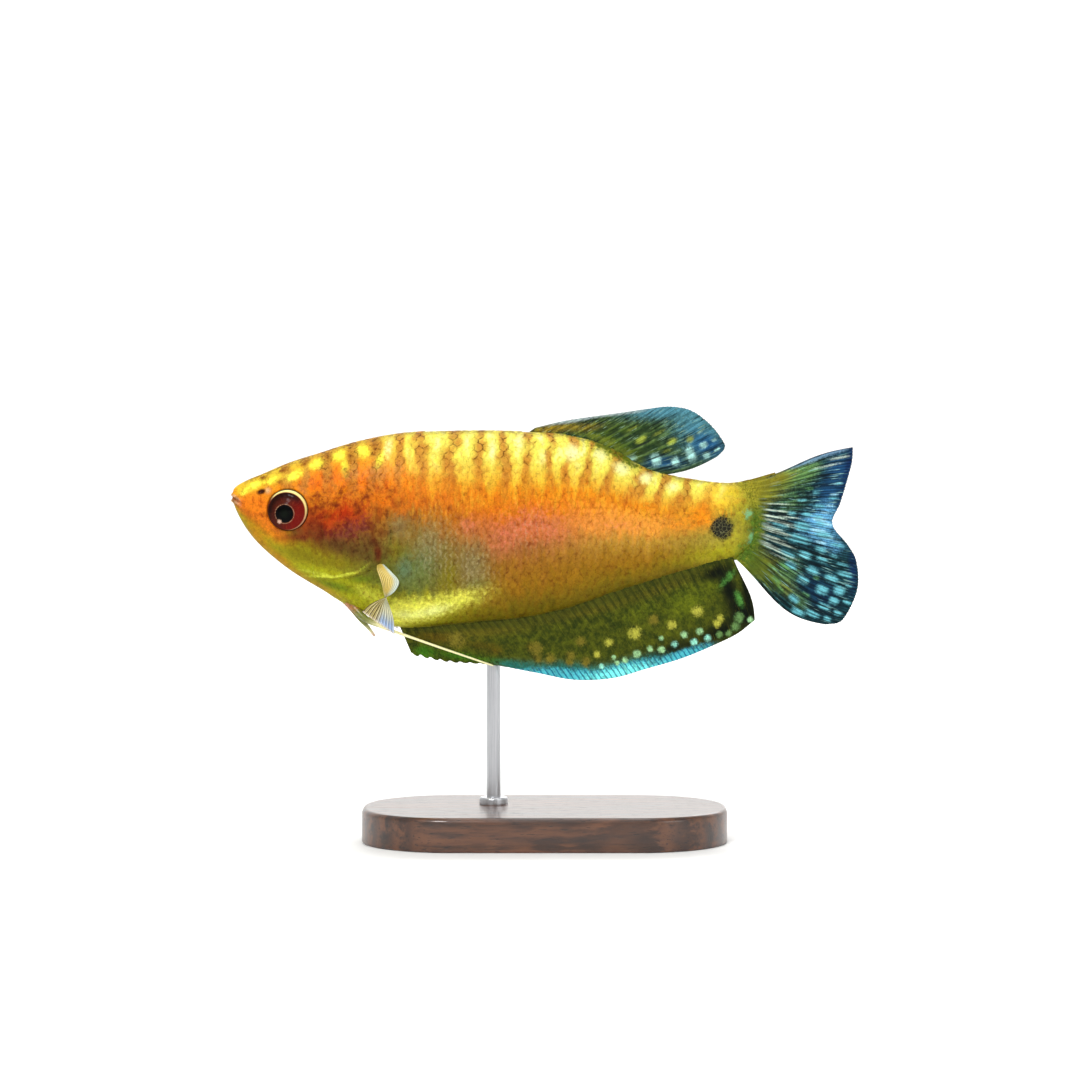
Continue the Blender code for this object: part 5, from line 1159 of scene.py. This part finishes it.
tailWashes = {
    "upperOlive": {"colour": (0.52, 0.54, 0.16), "grain": 1.6, "at": [
        (97.4, 10.6, 4.0, 1.7, 25, 0.9), (94.6, 7.8, 2.6, 1.6, 20, 0.7), (92.0, 4.0, 1.6, 7.0, 0, 0.8),
        (94.2, -4.4, 2.4, 2.2, -45, 0.8), (97.2, -8.0, 2.6, 1.4, -45, 0.7)]},
    "upperGreen": {"colour": (0.40, 0.57, 0.32), "grain": 1.6, "at": [
        (100.4, 11.6, 4.2, 2.0, 28, 0.9), (98.0, 6.4, 3.0, 2.0, 20, 0.5), (97.6, -5.6, 2.4, 3.0, -45, 0.65),
        (99.6, -10.4, 2.6, 1.5, -45, 0.6)]},
    "upperBlue": {"colour": (0.12, 0.30, 0.47), "at": [
        (106.6, 12.4, 3.0, 3.0, 50, 0.85), (105.0, 8.0, 2.8, 3.0, 40, 0.75)]},
    "notchBlue": {"colour": (0.40, 0.68, 0.86), "grain": 1.6, "at": [
        (103.0, 2.6, 3.8, 2.8, 10, 0.9), (105.4, -0.8, 2.4, 1.6, -30, 0.6), (104.6, 5.6, 1.8, 1.8, 0, 0.5)]},
    "topEdge": {"colour": (0.42, 0.55, 0.66), "grain": 2.4, "at": [
        (101.5, 13.9, 6.0, 0.5, 20, 0.75), (106.4, 15.6, 2.6, 0.4, 14, 0.7)]},
    "edgeNavy": {"colour": (0.05, 0.15, 0.32), "at": [
        (108.4, 14.0, 0.9, 4.0, -10, 0.8), (107.0, 8.6, 0.7, 4.0, -15, 0.6), (109.0, -5.0, 1.0, 5.0, 0, 0.7),
        (103.0, -9.0, 6.0, 4.5, -45, 0.5)]},
    "streaks": {"colour": (0.84, 0.92, 0.84), "edge": 0.9, "power": 3.0, "grain": 1.6, "alongRays": True,
                "at": [
        (94.6, 4.2, 2.4, 0.17, 0, 0.9), (95.6, 3.3, 2.8, 0.19, 0, 0.9), (94.0, 2.4, 2.2, 0.19, 0, 0.9),
        (95.2, 1.5, 2.6, 0.20, 0, 0.95), (94.2, 0.7, 2.4, 0.17, 0, 0.9), (95.4, -0.2, 2.8, 0.18, 0, 0.85),
        (94.8, -1.1, 2.4, 0.16, 0, 0.8), (96.0, -2.0, 2.8, 0.16, 0, 0.7), (95.0, 5.2, 2.4, 0.16, 0, 0.8),
        (96.8, -3.2, 2.4, 0.15, 0, 0.6), (95.8, 6.3, 2.2, 0.14, 0, 0.6), (104.6, 13.0, 2.4, 0.2, 0, 0.5),
        (106.6, 14.4, 1.6, 0.2, 0, 0.6), (93.6, 2.9, 1.4, 0.25, 0, 0.7), (93.4, -0.4, 1.4, 0.25, 0, 0.6),
        (98.0, 4.0, 1.6, 0.14, 0, 0.6), (98.6, 2.2, 1.8, 0.14, 0, 0.6), (98.8, 0.6, 1.8, 0.14, 0, 0.6)]},
    "notchDashes": {"colour": (0.62, 0.84, 0.92), "edge": 0.6, "grain": 1.8, "power": 3.0, "alongRays": True,
                    "at": [
        (103.2, 3.6, 1.2, 0.35, 0, 0.85), (104.4, 2.8, 0.9, 0.3, 0, 0.8), (103.0, 1.6, 1.4, 0.4, 0, 0.9),
        (104.3, 0.6, 1.2, 0.35, 0, 0.85), (103.4, -0.4, 1.0, 0.3, 0, 0.7), (105.2, 6.0, 0.9, 0.22, 0, 0.6),
        (105.8, 8.0, 0.8, 0.2, 0, 0.6), (106.4, 9.8, 0.8, 0.2, 0, 0.55), (104.2, 4.8, 0.8, 0.25, 0, 0.6)]},
    "checks": {"colour": (0.42, 0.74, 0.79), "edge": 0.75, "grain": 1.4, "power": 3.0, "alongRays": True,
               "at": [
        (100.6, -2.6, 1.0, 0.62, 0, 0.95), (99.6, 0.2, 1.7, 0.62, 0, 0.95), (101.9, -5.4, 1.0, 0.62, 0, 0.95),
        (100.3, -7.0, 0.95, 0.6, 0, 0.9), (98.2, -4.4, 1.0, 0.55, 0, 0.9), (103.6, -8.8, 1.0, 0.7, 0, 0.9),
        (106.6, -8.8, 0.9, 0.75, 0, 0.9), (105.2, -6.8, 1.1, 0.6, 0, 0.9), (107.6, -6.0, 1.2, 0.4, 0, 0.85),
        (105.7, -10.7, 0.8, 0.6, 0, 0.9), (104.0, -11.7, 1.0, 0.5, 0, 0.9), (101.9, -12.9, 1.2, 0.45, 0, 0.9),
        (99.4, -12.6, 1.1, 0.45, 0, 0.85), (98.7, -10.3, 0.9, 0.6, 0, 0.85), (104.6, -13.8, 0.6, 0.4, 0, 0.8),
        (106.4, -12.8, 0.7, 0.45, 0, 0.8), (108.0, -10.9, 0.7, 0.35, 0, 0.75),
        (103.3, -1.6, 0.9, 0.45, 0, 0.8), (103.6, -3.5, 0.9, 0.45, 0, 0.75),
        (103.8, 0.9, 1.3, 0.55, 0, 0.8), (106.1, -0.9, 1.2, 0.3, 0, 0.75),
        (105.7, -2.8, 0.7, 0.3, 0, 0.6), (107.3, -4.3, 1.1, 0.25, 0, 0.7), (108.3, -8.1, 0.6, 0.25, 0, 0.7),
        (100.2, 2.4, 1.3, 0.75, 0, 0.95), (96.2, 2.4, 1.6, 0.5, 0, 0.6), (103.4, 2.8, 1.0, 0.5, 0, 0.6),
        (100.9, 4.6, 0.8, 0.5, 0, 0.7), (98.3, 4.6, 0.7, 0.5, 0, 0.6), (103.1, 5.9, 1.0, 0.35, 0, 0.7),
        (102.9, 4.0, 0.8, 0.4, 0, 0.6), (100.1, 7.0, 0.8, 0.3, 0, 0.6), (102.6, 8.3, 0.6, 0.4, 0, 0.55),
        (105.6, 7.4, 0.8, 0.3, 0, 0.6), (106.6, 9.9, 0.6, 0.25, 0, 0.6), (97.5, -2.3, 1.4, 0.4, 0, 0.8)]},
    "greenChecks": {"colour": (0.40, 0.64, 0.36), "edge": 0.7, "grain": 1.8, "power": 3.0, "alongRays": True,
                    "at": [
        (95.6, -6.9, 1.0, 0.6, 0, 0.7), (97.0, -4.6, 1.0, 0.4, 0, 0.6), (96.2, -8.6, 0.9, 0.5, 0, 0.6),
        (100.8, -9.6, 0.7, 0.4, 0, 0.5), (95.0, -4.8, 1.2, 0.35, 0, 0.6), (102.6, -6.6, 0.6, 0.35, 0, 0.5),
        (99.6, 12.2, 1.2, 0.4, 0, 0.6), (97.6, 11.8, 0.9, 0.4, 0, 0.6), (101.4, 9.0, 0.7, 0.3, 0, 0.5)]},
    "flesh": {"colour": (0.58, 0.55, 0.14), "grain": 2.8, "at": [
        (91.2, 9.0, 3.4, 2.6, 15, 0.97), (95.4, 10.6, 3.0, 1.2, 25, 0.7), (98.6, 11.6, 2.4, 0.7, 25, 0.35),
        (90.6, -3.2, 3.0, 2.2, -45, 0.97), (92.8, -5.4, 2.2, 1.1, -48, 0.6), (90.4, 3.4, 1.9, 7.0, 0, 0.9)]},
    "baseGreen": {"colour": (0.33, 0.40, 0.11), "grain": 2.6, "at": [
        (91.4, -4.0, 3.4, 2.8, -45, 0.95), (94.4, -7.0, 3.0, 1.6, -45, 0.7), (92.4, 3.4, 1.2, 4.2, 0, 0.9),
        (96.4, 9.6, 2.6, 0.8, 20, 0.5)]},
}


def finFinish(name, look, washes):
    # Membrane and ray colours, mottled, washes over both, then dark lines between the rays, long
    # dark and pale streaks along them, and a grain. The lines and streaks are weaker on the flesh
    # at the fin's base, and the tail fin's base takes the colour of the stalk's end.
    fin = Finish(name, Coat_Weight=0.03, Coat_Roughness=0.25, Specular_IOR_Level=0.05)
    place = fin.place()
    x, _, z = fin.split(place)
    ray, along, across = fin.mark("ray"), fin.mark("along"), fin.mark("across")
    grain = fin.noise(place, 1.1, 3.0, 0.6)
    speck = fin.noise(place, 3.2, 3.0, 0.7)
    mottle = fin.noise(place, 0.7, 4.0, 0.7)

    def fibres(perRay, perLength, detail=2.0):
        return fin.noise(fin.join(across * perRay, along * perLength), 1.0, detail, 0.6)

    fibre, streak, gleam = fibres(9.0, 4.0, 3.0), fibres(*look["streakSize"]), fibres(7.0, 5.0)
    near, far, rest = look["lineEnds"]
    reach = along.ramp(near, far, 1.0, rest)
    pattern = ray.ramp(0.2, 0.95) * grain.ramp(0.3, 0.6) * reach * (1.0 - look["mottled"])
    pattern = pattern + mottle.ramp(0.36, 0.64) * look["mottled"]
    colour = fin.mix(hue(*look["deep"]), hue(*look["crest"]), pattern)
    colour = fin.washes(colour, washes, mottle * 0.5 + speck * 0.5)
    flesh = fin.mark("flesh")
    colour = fin.mix(colour, hue(0.24, 0.26, 0.06), speck.ramp(0.46, 0.60) * flesh.ramp(0.3, 0.8) * 0.6)
    bare = 1.0 - flesh * look["bare"]
    if "meetsStalk" in look:
        past = pastStalk(x, z) + (fibre - 0.5) * 2.4
        colour = fin.mix(colour, stalkEndColour(fin, z), past.ramp(-0.6, 1.8, 1.0, 0.0))
        bare = bare * past.ramp(-0.8, 1.2)
    lines = ray.ramp(*look["lineWidth"], 1.0, 0.0) * fibre.ramp(0.34, 0.54) * reach * bare
    colour = fin.mix(colour, hue(*look["line"]), lines * look["lines"])
    if "marginLine" in look:  # slanted dark lines across the pale margin
        slant = (x * 1.02 + z * 0.72 + grain * 0.4).ripple().ramp(0.2, 0.95)
        colour = fin.mix(colour, hue(*look["marginLine"]), slant * fin.mark("skyBand").ramp(0.1, 0.6) * 0.75)
    colour = fin.mix(colour, hue(*look["line"]), streak.ramp(0.54, 0.66) * bare * look["streaks"])
    colour = fin.mix(colour, hue(*look["gleam"]), gleam.ramp(0.60, 0.70) * bare * look["gleams"])
    grit = grain * 0.5 + speck * 0.8 + fibre * 0.7
    colour = fin.tint(colour, (1.0 - look["grain"]) + look["grain"] * grit)
    return fin.wear(colour, 0.40 + grain * 0.2, fibre * 0.6 + speck * 0.4, 0.00005, 0.5)


def bodyEdge(column, ends, offset):
    x = np.linspace(*ends, 200)
    return np.column_stack([x, np.interp(x, bodyRows[:, 0], bodyRows[:, column]) + offset])


finLooks = {
    "dorsal": {
        "deep": (0.13, 0.22, 0.12), "crest": (0.33, 0.42, 0.18), "mottled": 0.4, "bare": 0.6,
        "line": (0.04, 0.08, 0.06), "lines": 0.55, "lineWidth": (0.05, 0.5), "lineEnds": (0.5, 1.2, 0.7),
        "streakSize": (2.6, 2.2), "streaks": 0.75, "gleam": (0.58, 0.72, 0.58), "gleams": 0.55, "grain": 1.2},
    "anal": {
        "deep": (0.17, 0.21, 0.04), "crest": (0.31, 0.33, 0.06), "mottled": 0.9, "bare": 0.35,
        "line": (0.11, 0.14, 0.03), "lines": 0.8, "lineWidth": (0.003, 0.05), "lineEnds": (0.10, 0.40, 0.12),
        "streakSize": (1.2, 9.0), "streaks": 0.35, "gleam": (0.46, 0.45, 0.10), "gleams": 0.3, "grain": 1.6,
        "marginLine": (0.04, 0.30, 0.46)},
    "tail": {
        "deep": (0.03, 0.13, 0.14), "crest": (0.11, 0.28, 0.31), "mottled": 0.3, "bare": 1.0,
        "line": (0.02, 0.06, 0.08), "lines": 0.8, "lineWidth": (0.05, 0.5), "lineEnds": (0.5, 1.2, 0.8),
        "streakSize": (4.5, 2.0), "streaks": 0.8, "gleam": (0.60, 0.82, 0.80), "gleams": 0.55, "grain": 1.3,
        "meetsStalk": True},
}
makeFin("dorsal_fin", dorsal, bodyEdge(1, dorsal["base"], dorsal["sunk"]),
        finFinish("dorsalMembrane", finLooks["dorsal"], dorsalWashes), dorsalWashes)
makeFin("anal_fin", anal, bodyEdge(2, anal["base"], anal["sunk"]),
        finFinish("analMembrane", finLooks["anal"], analWashes), analWashes)
makeFin("tail_fin", tail, curve(tail["base"]),
        finFinish("tailMembrane", finLooks["tail"], tailWashes), tailWashes)

# Pectoral fins
pectoral = {
    # From root to margin: middle x and z, distance from the midplane, half span by x, z and y
    "rows": [(26.5, -4.1, 6.0, 0.45, -0.2, 0.2), (27.25, -5.1, 7.3, 1.3, -0.25, 0.5),
             (28.1, -6.4, 8.2, 1.7, -0.35, 0.7), (28.1, -7.9, 8.7, 1.2, -0.25, 1.4),
             (27.6, -9.1, 8.8, 0.4, -0.1, 1.9), (26.9, -11.8, 8.2, -1.8, 1.2, 1.1),
             (26.2, -14.1, 7.6, -2.75, 2.0, 0.3)],
    "rays": 10, "perRay": 12, "steps": 80, "membrane": 0.05, "ray": 0.10, "root": 0.3, "ripple": 0.10,
    "split": (0.6, 2.0),
}


def pectoralFinish():
    fin = Finish("pectoralMembrane", Coat_Weight=0.3, Coat_Roughness=0.2)
    ray, along, across = fin.mark("ray"), fin.mark("along"), fin.mark("across")
    fibre = fin.noise(fin.join(across * 5.0, along * 2.0), 1.5, 3.0, 0.6)
    # Above the pinch golden with a pale rear edge; below it orange streaks in front, and white
    # that turns blue behind
    colour = fin.mix(hue(0.92, 0.81, 0.38), hue(0.84, 0.90, 0.86), across.ramp(5.5, 9.0))
    lower = fin.mix(hue(0.82, 0.82, 0.70), hue(0.54, 0.67, 0.86), along.ramp(0.76, 0.97))
    lower = fin.mix(lower, hue(0.70, 0.64, 0.38), across.ramp(4.0, 6.5))
    colour = fin.mix(colour, lower, along.ramp(0.45, 0.58))
    upper = along.ramp(0.40, 0.55, 1.0, 0.0)
    # Dark lines between the rays and pale ones along them, both broken
    valley = across.ripple().ramp(0.1, 0.9) * fibre.ramp(0.34, 0.52)
    warm = upper * across.ramp(1.0, 6.0, 0.8, 0.3) + (1.0 - upper) * across.ramp(4.0, 6.5, 0.4, 0.95)
    colour = fin.mix(colour, hue(0.38, 0.25, 0.09), valley * warm)
    pale = ray.ramp(0.5, 0.9) * fibre.ramp(0.42, 0.58) * along.ramp(0.05, 0.2)
    colour = fin.mix(colour, hue(0.98, 0.95, 0.82), pale * 0.75)
    colour = fin.mix(colour, hue(0.96, 0.90, 0.80), along.ramp(0.96, 1.0) * 0.8)
    return fin.wear(colour, 0.35 + fibre * 0.15, fibre, 0.00004, 0.4,
                    0.62 + ray.ramp(0.2, 0.8) * 0.38)


def makePectoral(name, side, finish):
    # A ruled fan: each row's middle plus the share across by its half span, with ridges for rays
    rows = evenly(curve(pectoral["rows"]), pectoral["steps"])
    columns = pectoral["rays"] * pectoral["perRay"] + 1
    s = np.linspace(0.0, 1.0, columns)[:, None]
    v = np.linspace(0.0, 1.0, pectoral["steps"])[None, :]
    grid = rows[None][..., (0, 2, 1)] + (2 * s - 1)[..., None] * rows[None][..., (3, 5, 4)]
    across = s * pectoral["rays"]
    ridge = rayHeight(across, v, pectoral["split"])
    grid[..., 1] += pectoral["ripple"] * np.sin(2 * math.pi * across) * v
    normal = np.cross(np.gradient(grid, axis=0), np.gradient(grid, axis=1))
    normal /= np.linalg.norm(normal, axis=2)[..., None]
    half = pectoral["membrane"] + pectoral["ray"] * ridge * (1 - 0.6 * v) + pectoral["root"] * (1 - v) ** 10
    half = half[..., None] * normal
    points, faces = closedSheet(grid - half, grid + half)
    points[:, 1] *= side
    piece = newPiece(name, points, faces, finish, sheetMarks(ridge, v, across, {}))
    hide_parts(name)


pectoralMaterial = pectoralFinish()
makePectoral("pectoral_fin_left", -1.0, pectoralMaterial)
makePectoral("pectoral_fin_right", 1.0, pectoralMaterial)

# Pelvic fins, each a stiff root and a long thread. The left thread runs on from its root to the
# anal fin's lower edge; the right one leaves its root's rear side and trails behind the trunk.
pelvic = {
    "left": [(20.4, -0.9, -10.2), (21.6, -1.3, -11.6), (23.6, -2.3, -13.6), (26.4, -2.8, -14.95),
             (29.0, -2.7, -15.95), (36.7, -2.3, -18.7), (43.8, -1.6, -21.2), (46.1, -1.35, -22.0)],
    "leftRadii": [(0.0, 0.85), (3.0, 0.72), (9.0, 0.3), (14.0, 0.22), (28.0, 0.15)],   # run, radius
    "rightRoot": [(19.8, 0.9, -10.2), (21.0, 1.3, -11.6), (22.6, 2.1, -13.9), (24.1, 2.5, -15.7),
                  (25.1, 2.8, -17.1)],
    "rootRadii": [(0.0, 0.85), (2.4, 0.68), (8.0, 0.26)],
    "rightThread": [(22.6, 2.1, -13.6), (23.5, 2.6, -13.9), (24.6, 3.4, -14.1), (26.4, 4.4, -14.5),
                    (29.0, 5.2, -14.8), (32.0, 5.6, -15.2), (36.0, 5.8, -16.2), (44.0, 5.7, -17.8),
                    (52.0, 5.4, -19.2), (60.0, 5.0, -20.0)],
    "threadRadii": [(0.0, 0.34), (4.0, 0.24), (40.0, 0.15)],
    "steps": 260, "sides": 14,
    "endRadii": (0.97, 0.92, 0.85, 0.72, 0.55, 0.3),   # shares of the radius at the last steps
}


def tube(path, radii, sides):
    # A circle of the given radius carried along the path, with round ends
    step = np.gradient(path, axis=0)
    step /= np.linalg.norm(step, axis=1)[:, None]
    side = np.cross(step, (0.0, 0.0, 1.0))
    side /= np.linalg.norm(side, axis=1)[:, None]
    up = np.cross(side, step)
    turn = fullTurn(sides)[None, :, None]
    rings = path[:, None] + radii[:, None, None] * (side[:, None] * np.cos(turn) + up[:, None] * np.sin(turn))
    return closedRings(rings, [path[0] - step[0] * radii[0] * 0.3, path[-1] + step[-1] * radii[-1] * 0.3])


def threadFinish():
    thread = Finish("pelvicThread", Coat_Weight=0.2)
    place = thread.place()
    run = thread.mark("run")
    grain = thread.noise(thread.stretch(place, (0.6, 2.0, 2.0)), 2.2, 3.0)
    root = thread.mix(hue(0.64, 0.38, 0.10), hue(0.44, 0.46, 0.14), (run + grain * 2.0).ramp(2.4, 5.0))
    root = thread.mix(root, hue(0.24, 0.26, 0.08), grain.ramp(0.50, 0.64) * 0.6)
    colour = thread.mix(root, hue(0.95, 0.92, 0.70), (run + grain * 3.0).ramp(6.5, 10.5))
    colour = thread.mix(colour, hue(0.97, 0.95, 0.74), grain.ramp(0.5, 0.7) * run.ramp(7.0, 10.0) * 0.6)
    colour = thread.mix(colour, hue(0.88, 0.72, 0.64), thread.mark("tip"))
    rings = (run * 2.6).ripple().ramp(0.4, 1.0)
    return thread.wear(colour, 0.4 + grain * 0.15, rings * 0.5 + grain * 0.5, 0.00004, 0.4)


def makePelvic(name, path, radii, nodes, finish, start=0.0, tip=0.0):
    # Start is the run at the path's first point, and tip is how strongly the end is pink
    path = evenly(curve(path), pelvic["steps"])
    run = runAlong(path)
    radii = np.interp(run, *np.array(radii).T)
    radii[-len(pelvic["endRadii"]):] *= pelvic["endRadii"]
    points, faces = tube(path, radii, pelvic["sides"])
    run = np.concatenate([np.repeat(run, pelvic["sides"]), [0.0, run[-1]]])
    marks = {"run": run + start, "tip": tip * smooth((run - run[-1] + 1.5) / 1.2)}
    piece = newPiece(name, points, faces, finish, marks)
    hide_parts(*nodes)


threadMaterial = threadFinish()
makePelvic("feeler_left", pelvic["left"], pelvic["leftRadii"],
           ("pelvic_fin_left", "pelvic_thread_left"), threadMaterial)
makePelvic("feeler_root_right", pelvic["rightRoot"], pelvic["rootRadii"],
           ("pelvic_fin_right",), threadMaterial, tip=0.85)
makePelvic("feeler_right", pelvic["rightThread"], pelvic["threadRadii"],
           ("pelvic_thread_right",), threadMaterial, start=7.0)

# Display stand, in mm. The rod's place and its top are given in the fish's own frame.
stand = {
    "length": 64.0, "width": 36.0, "thickness": 6.0, "corner": 16.0, "round": 0.9, "foot": 0.35,
    "rodX": 46.0, "rodY": 3.3, "rodRadius": 1.25, "rodTop": -7.0,
    "collarRadius": 2.5, "collarHeight": 1.3, "collarRound": 0.4, "rodSides": 48, "cornerSteps": 17,
}


def turned(profile, sides, centre):
    # A profile of radius and height turned about an upright axis; both ends close on the axis
    turn = fullTurn(sides)[None, :]
    radius, height = np.array(profile)[:, :1], np.array(profile)[:, 1:]
    x, y = centre[0] + radius * np.cos(turn), centre[1] + radius * np.sin(turn)
    rings = np.stack(np.broadcast_arrays(x, y, height), -1)
    return closedRings(rings, [(*centre, profile[0][1]), (*centre, profile[-1][1])])


def woodFinish():
    wood = Finish("darkWalnut", Coat_Weight=0.45, Coat_Roughness=0.12)
    place = wood.place()
    warp = wood.noise(place, 0.05, 2.0)
    x, y, z = wood.split(place)
    grain = wood.noise(wood.join(x * 0.05, y * 0.9 + warp * 6.0, z * 0.7), 1.0, 5.0, 0.6)
    pores = wood.noise(wood.stretch(place, (0.35, 3.5, 3.5)), 1.0, 2.0).ramp(0.60, 0.68)
    rings = (y * 0.35 + warp * 4.0 + grain * 1.2).ripple().ramp(-0.6, 1.0)
    colour = wood.mix(hue(0.20, 0.115, 0.07), hue(0.40, 0.24, 0.14), grain.ramp(0.3, 0.7))
    colour = wood.mix(colour, hue(0.13, 0.07, 0.045), rings * 0.55)
    colour = wood.mix(colour, hue(0.07, 0.04, 0.03), pores * 0.7)
    return wood.wear(colour, 0.32 + grain * 0.15 + pores * 0.1, grain * 0.5 - pores, 0.00006, 0.4)


def steelFinish():
    steel = Finish("brushedSteel", Metallic=1.0)
    place = steel.place()
    brush = steel.noise(steel.stretch(place, (6.0, 6.0, 0.15)), 1.0, 4.0, 0.6)
    colour = steel.mix(hue(0.62, 0.63, 0.65), hue(0.84, 0.84, 0.85), brush)
    return steel.wear(colour, 0.22 + brush * 0.2, brush, 0.00002, 0.35)


def makeStand():
    # Base: a rounded rectangle whose edge profile gives the inset and the height of each ring
    steps, corner = stand["cornerSteps"], stand["corner"]
    turn = np.linspace(0.0, math.pi / 2, steps)
    edge = np.linspace(0.0, math.pi / 2, 7)
    top, foot, thick = stand["round"], stand["foot"], stand["thickness"]
    inset = np.concatenate([[corner - 0.5, foot], foot * (1 - np.sin(edge)), top * (1 - np.cos(edge)),
                            [top + 0.4, 6.0, corner - 0.5]])
    height = np.concatenate([[0.0, 0.0], foot * (1 - np.cos(edge)), thick - top * (1 - np.sin(edge)),
                             [thick] * 3])
    middleX = np.repeat([1, -1, -1, 1], steps) * (stand["length"] / 2 - corner)
    middleY = np.repeat([1, 1, -1, -1], steps) * (stand["width"] / 2 - corner)
    around = np.concatenate([turn + k * math.pi / 2 for k in range(4)])
    radius = (corner - inset)[:, None]
    x, y = middleX + radius * np.cos(around), middleY + radius * np.sin(around)
    rings = np.stack(np.broadcast_arrays(x, y, height[:, None]), -1)
    points, faces = closedRings(rings, [(0.0, 0.0, 0.0), (0.0, 0.0, thick)])
    shift = (-fish["snoutX"], 0.0, -fish["lineZ"])
    base = newPiece("stand_base", points + shift, faces, woodFinish())
    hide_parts("stand_base")
    # Rod and the collar at its foot
    steel = steelFinish()
    centre = (stand["rodX"] + fish["snoutX"], stand["rodY"])
    r, topZ = stand["rodRadius"], fish["lineZ"] + stand["rodTop"]
    profile = [(r - 0.1, thick - 0.4), (r, thick - 0.3)]
    profile += [(r, height) for height in np.linspace(thick, topZ - 0.3, 12)] + [(r - 0.3, topZ)]
    points, faces = turned(profile, stand["rodSides"], centre)
    rod = newPiece("stand_rod", points + shift, faces, steel)
    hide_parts("stand_rod")
    wide, tall, soft = stand["collarRadius"], thick + stand["collarHeight"], stand["collarRound"]
    profile = [(r - 0.1, thick - 0.2), (wide, thick - 0.2), (wide, thick + 0.2)]
    profile += [(wide - soft * (1 - math.cos(bend)), tall - soft * (1 - math.sin(bend))) for bend in edge]
    profile += [(r + 0.35, tall), (r + 0.1, tall - 0.15), (r - 0.1, tall - 0.3)]
    points, faces = turned(profile, stand["rodSides"], centre)
    newPiece("rod_collar", points + shift, faces, steel)


makeStand()
print("stand")

bpy.context.view_layer.update()
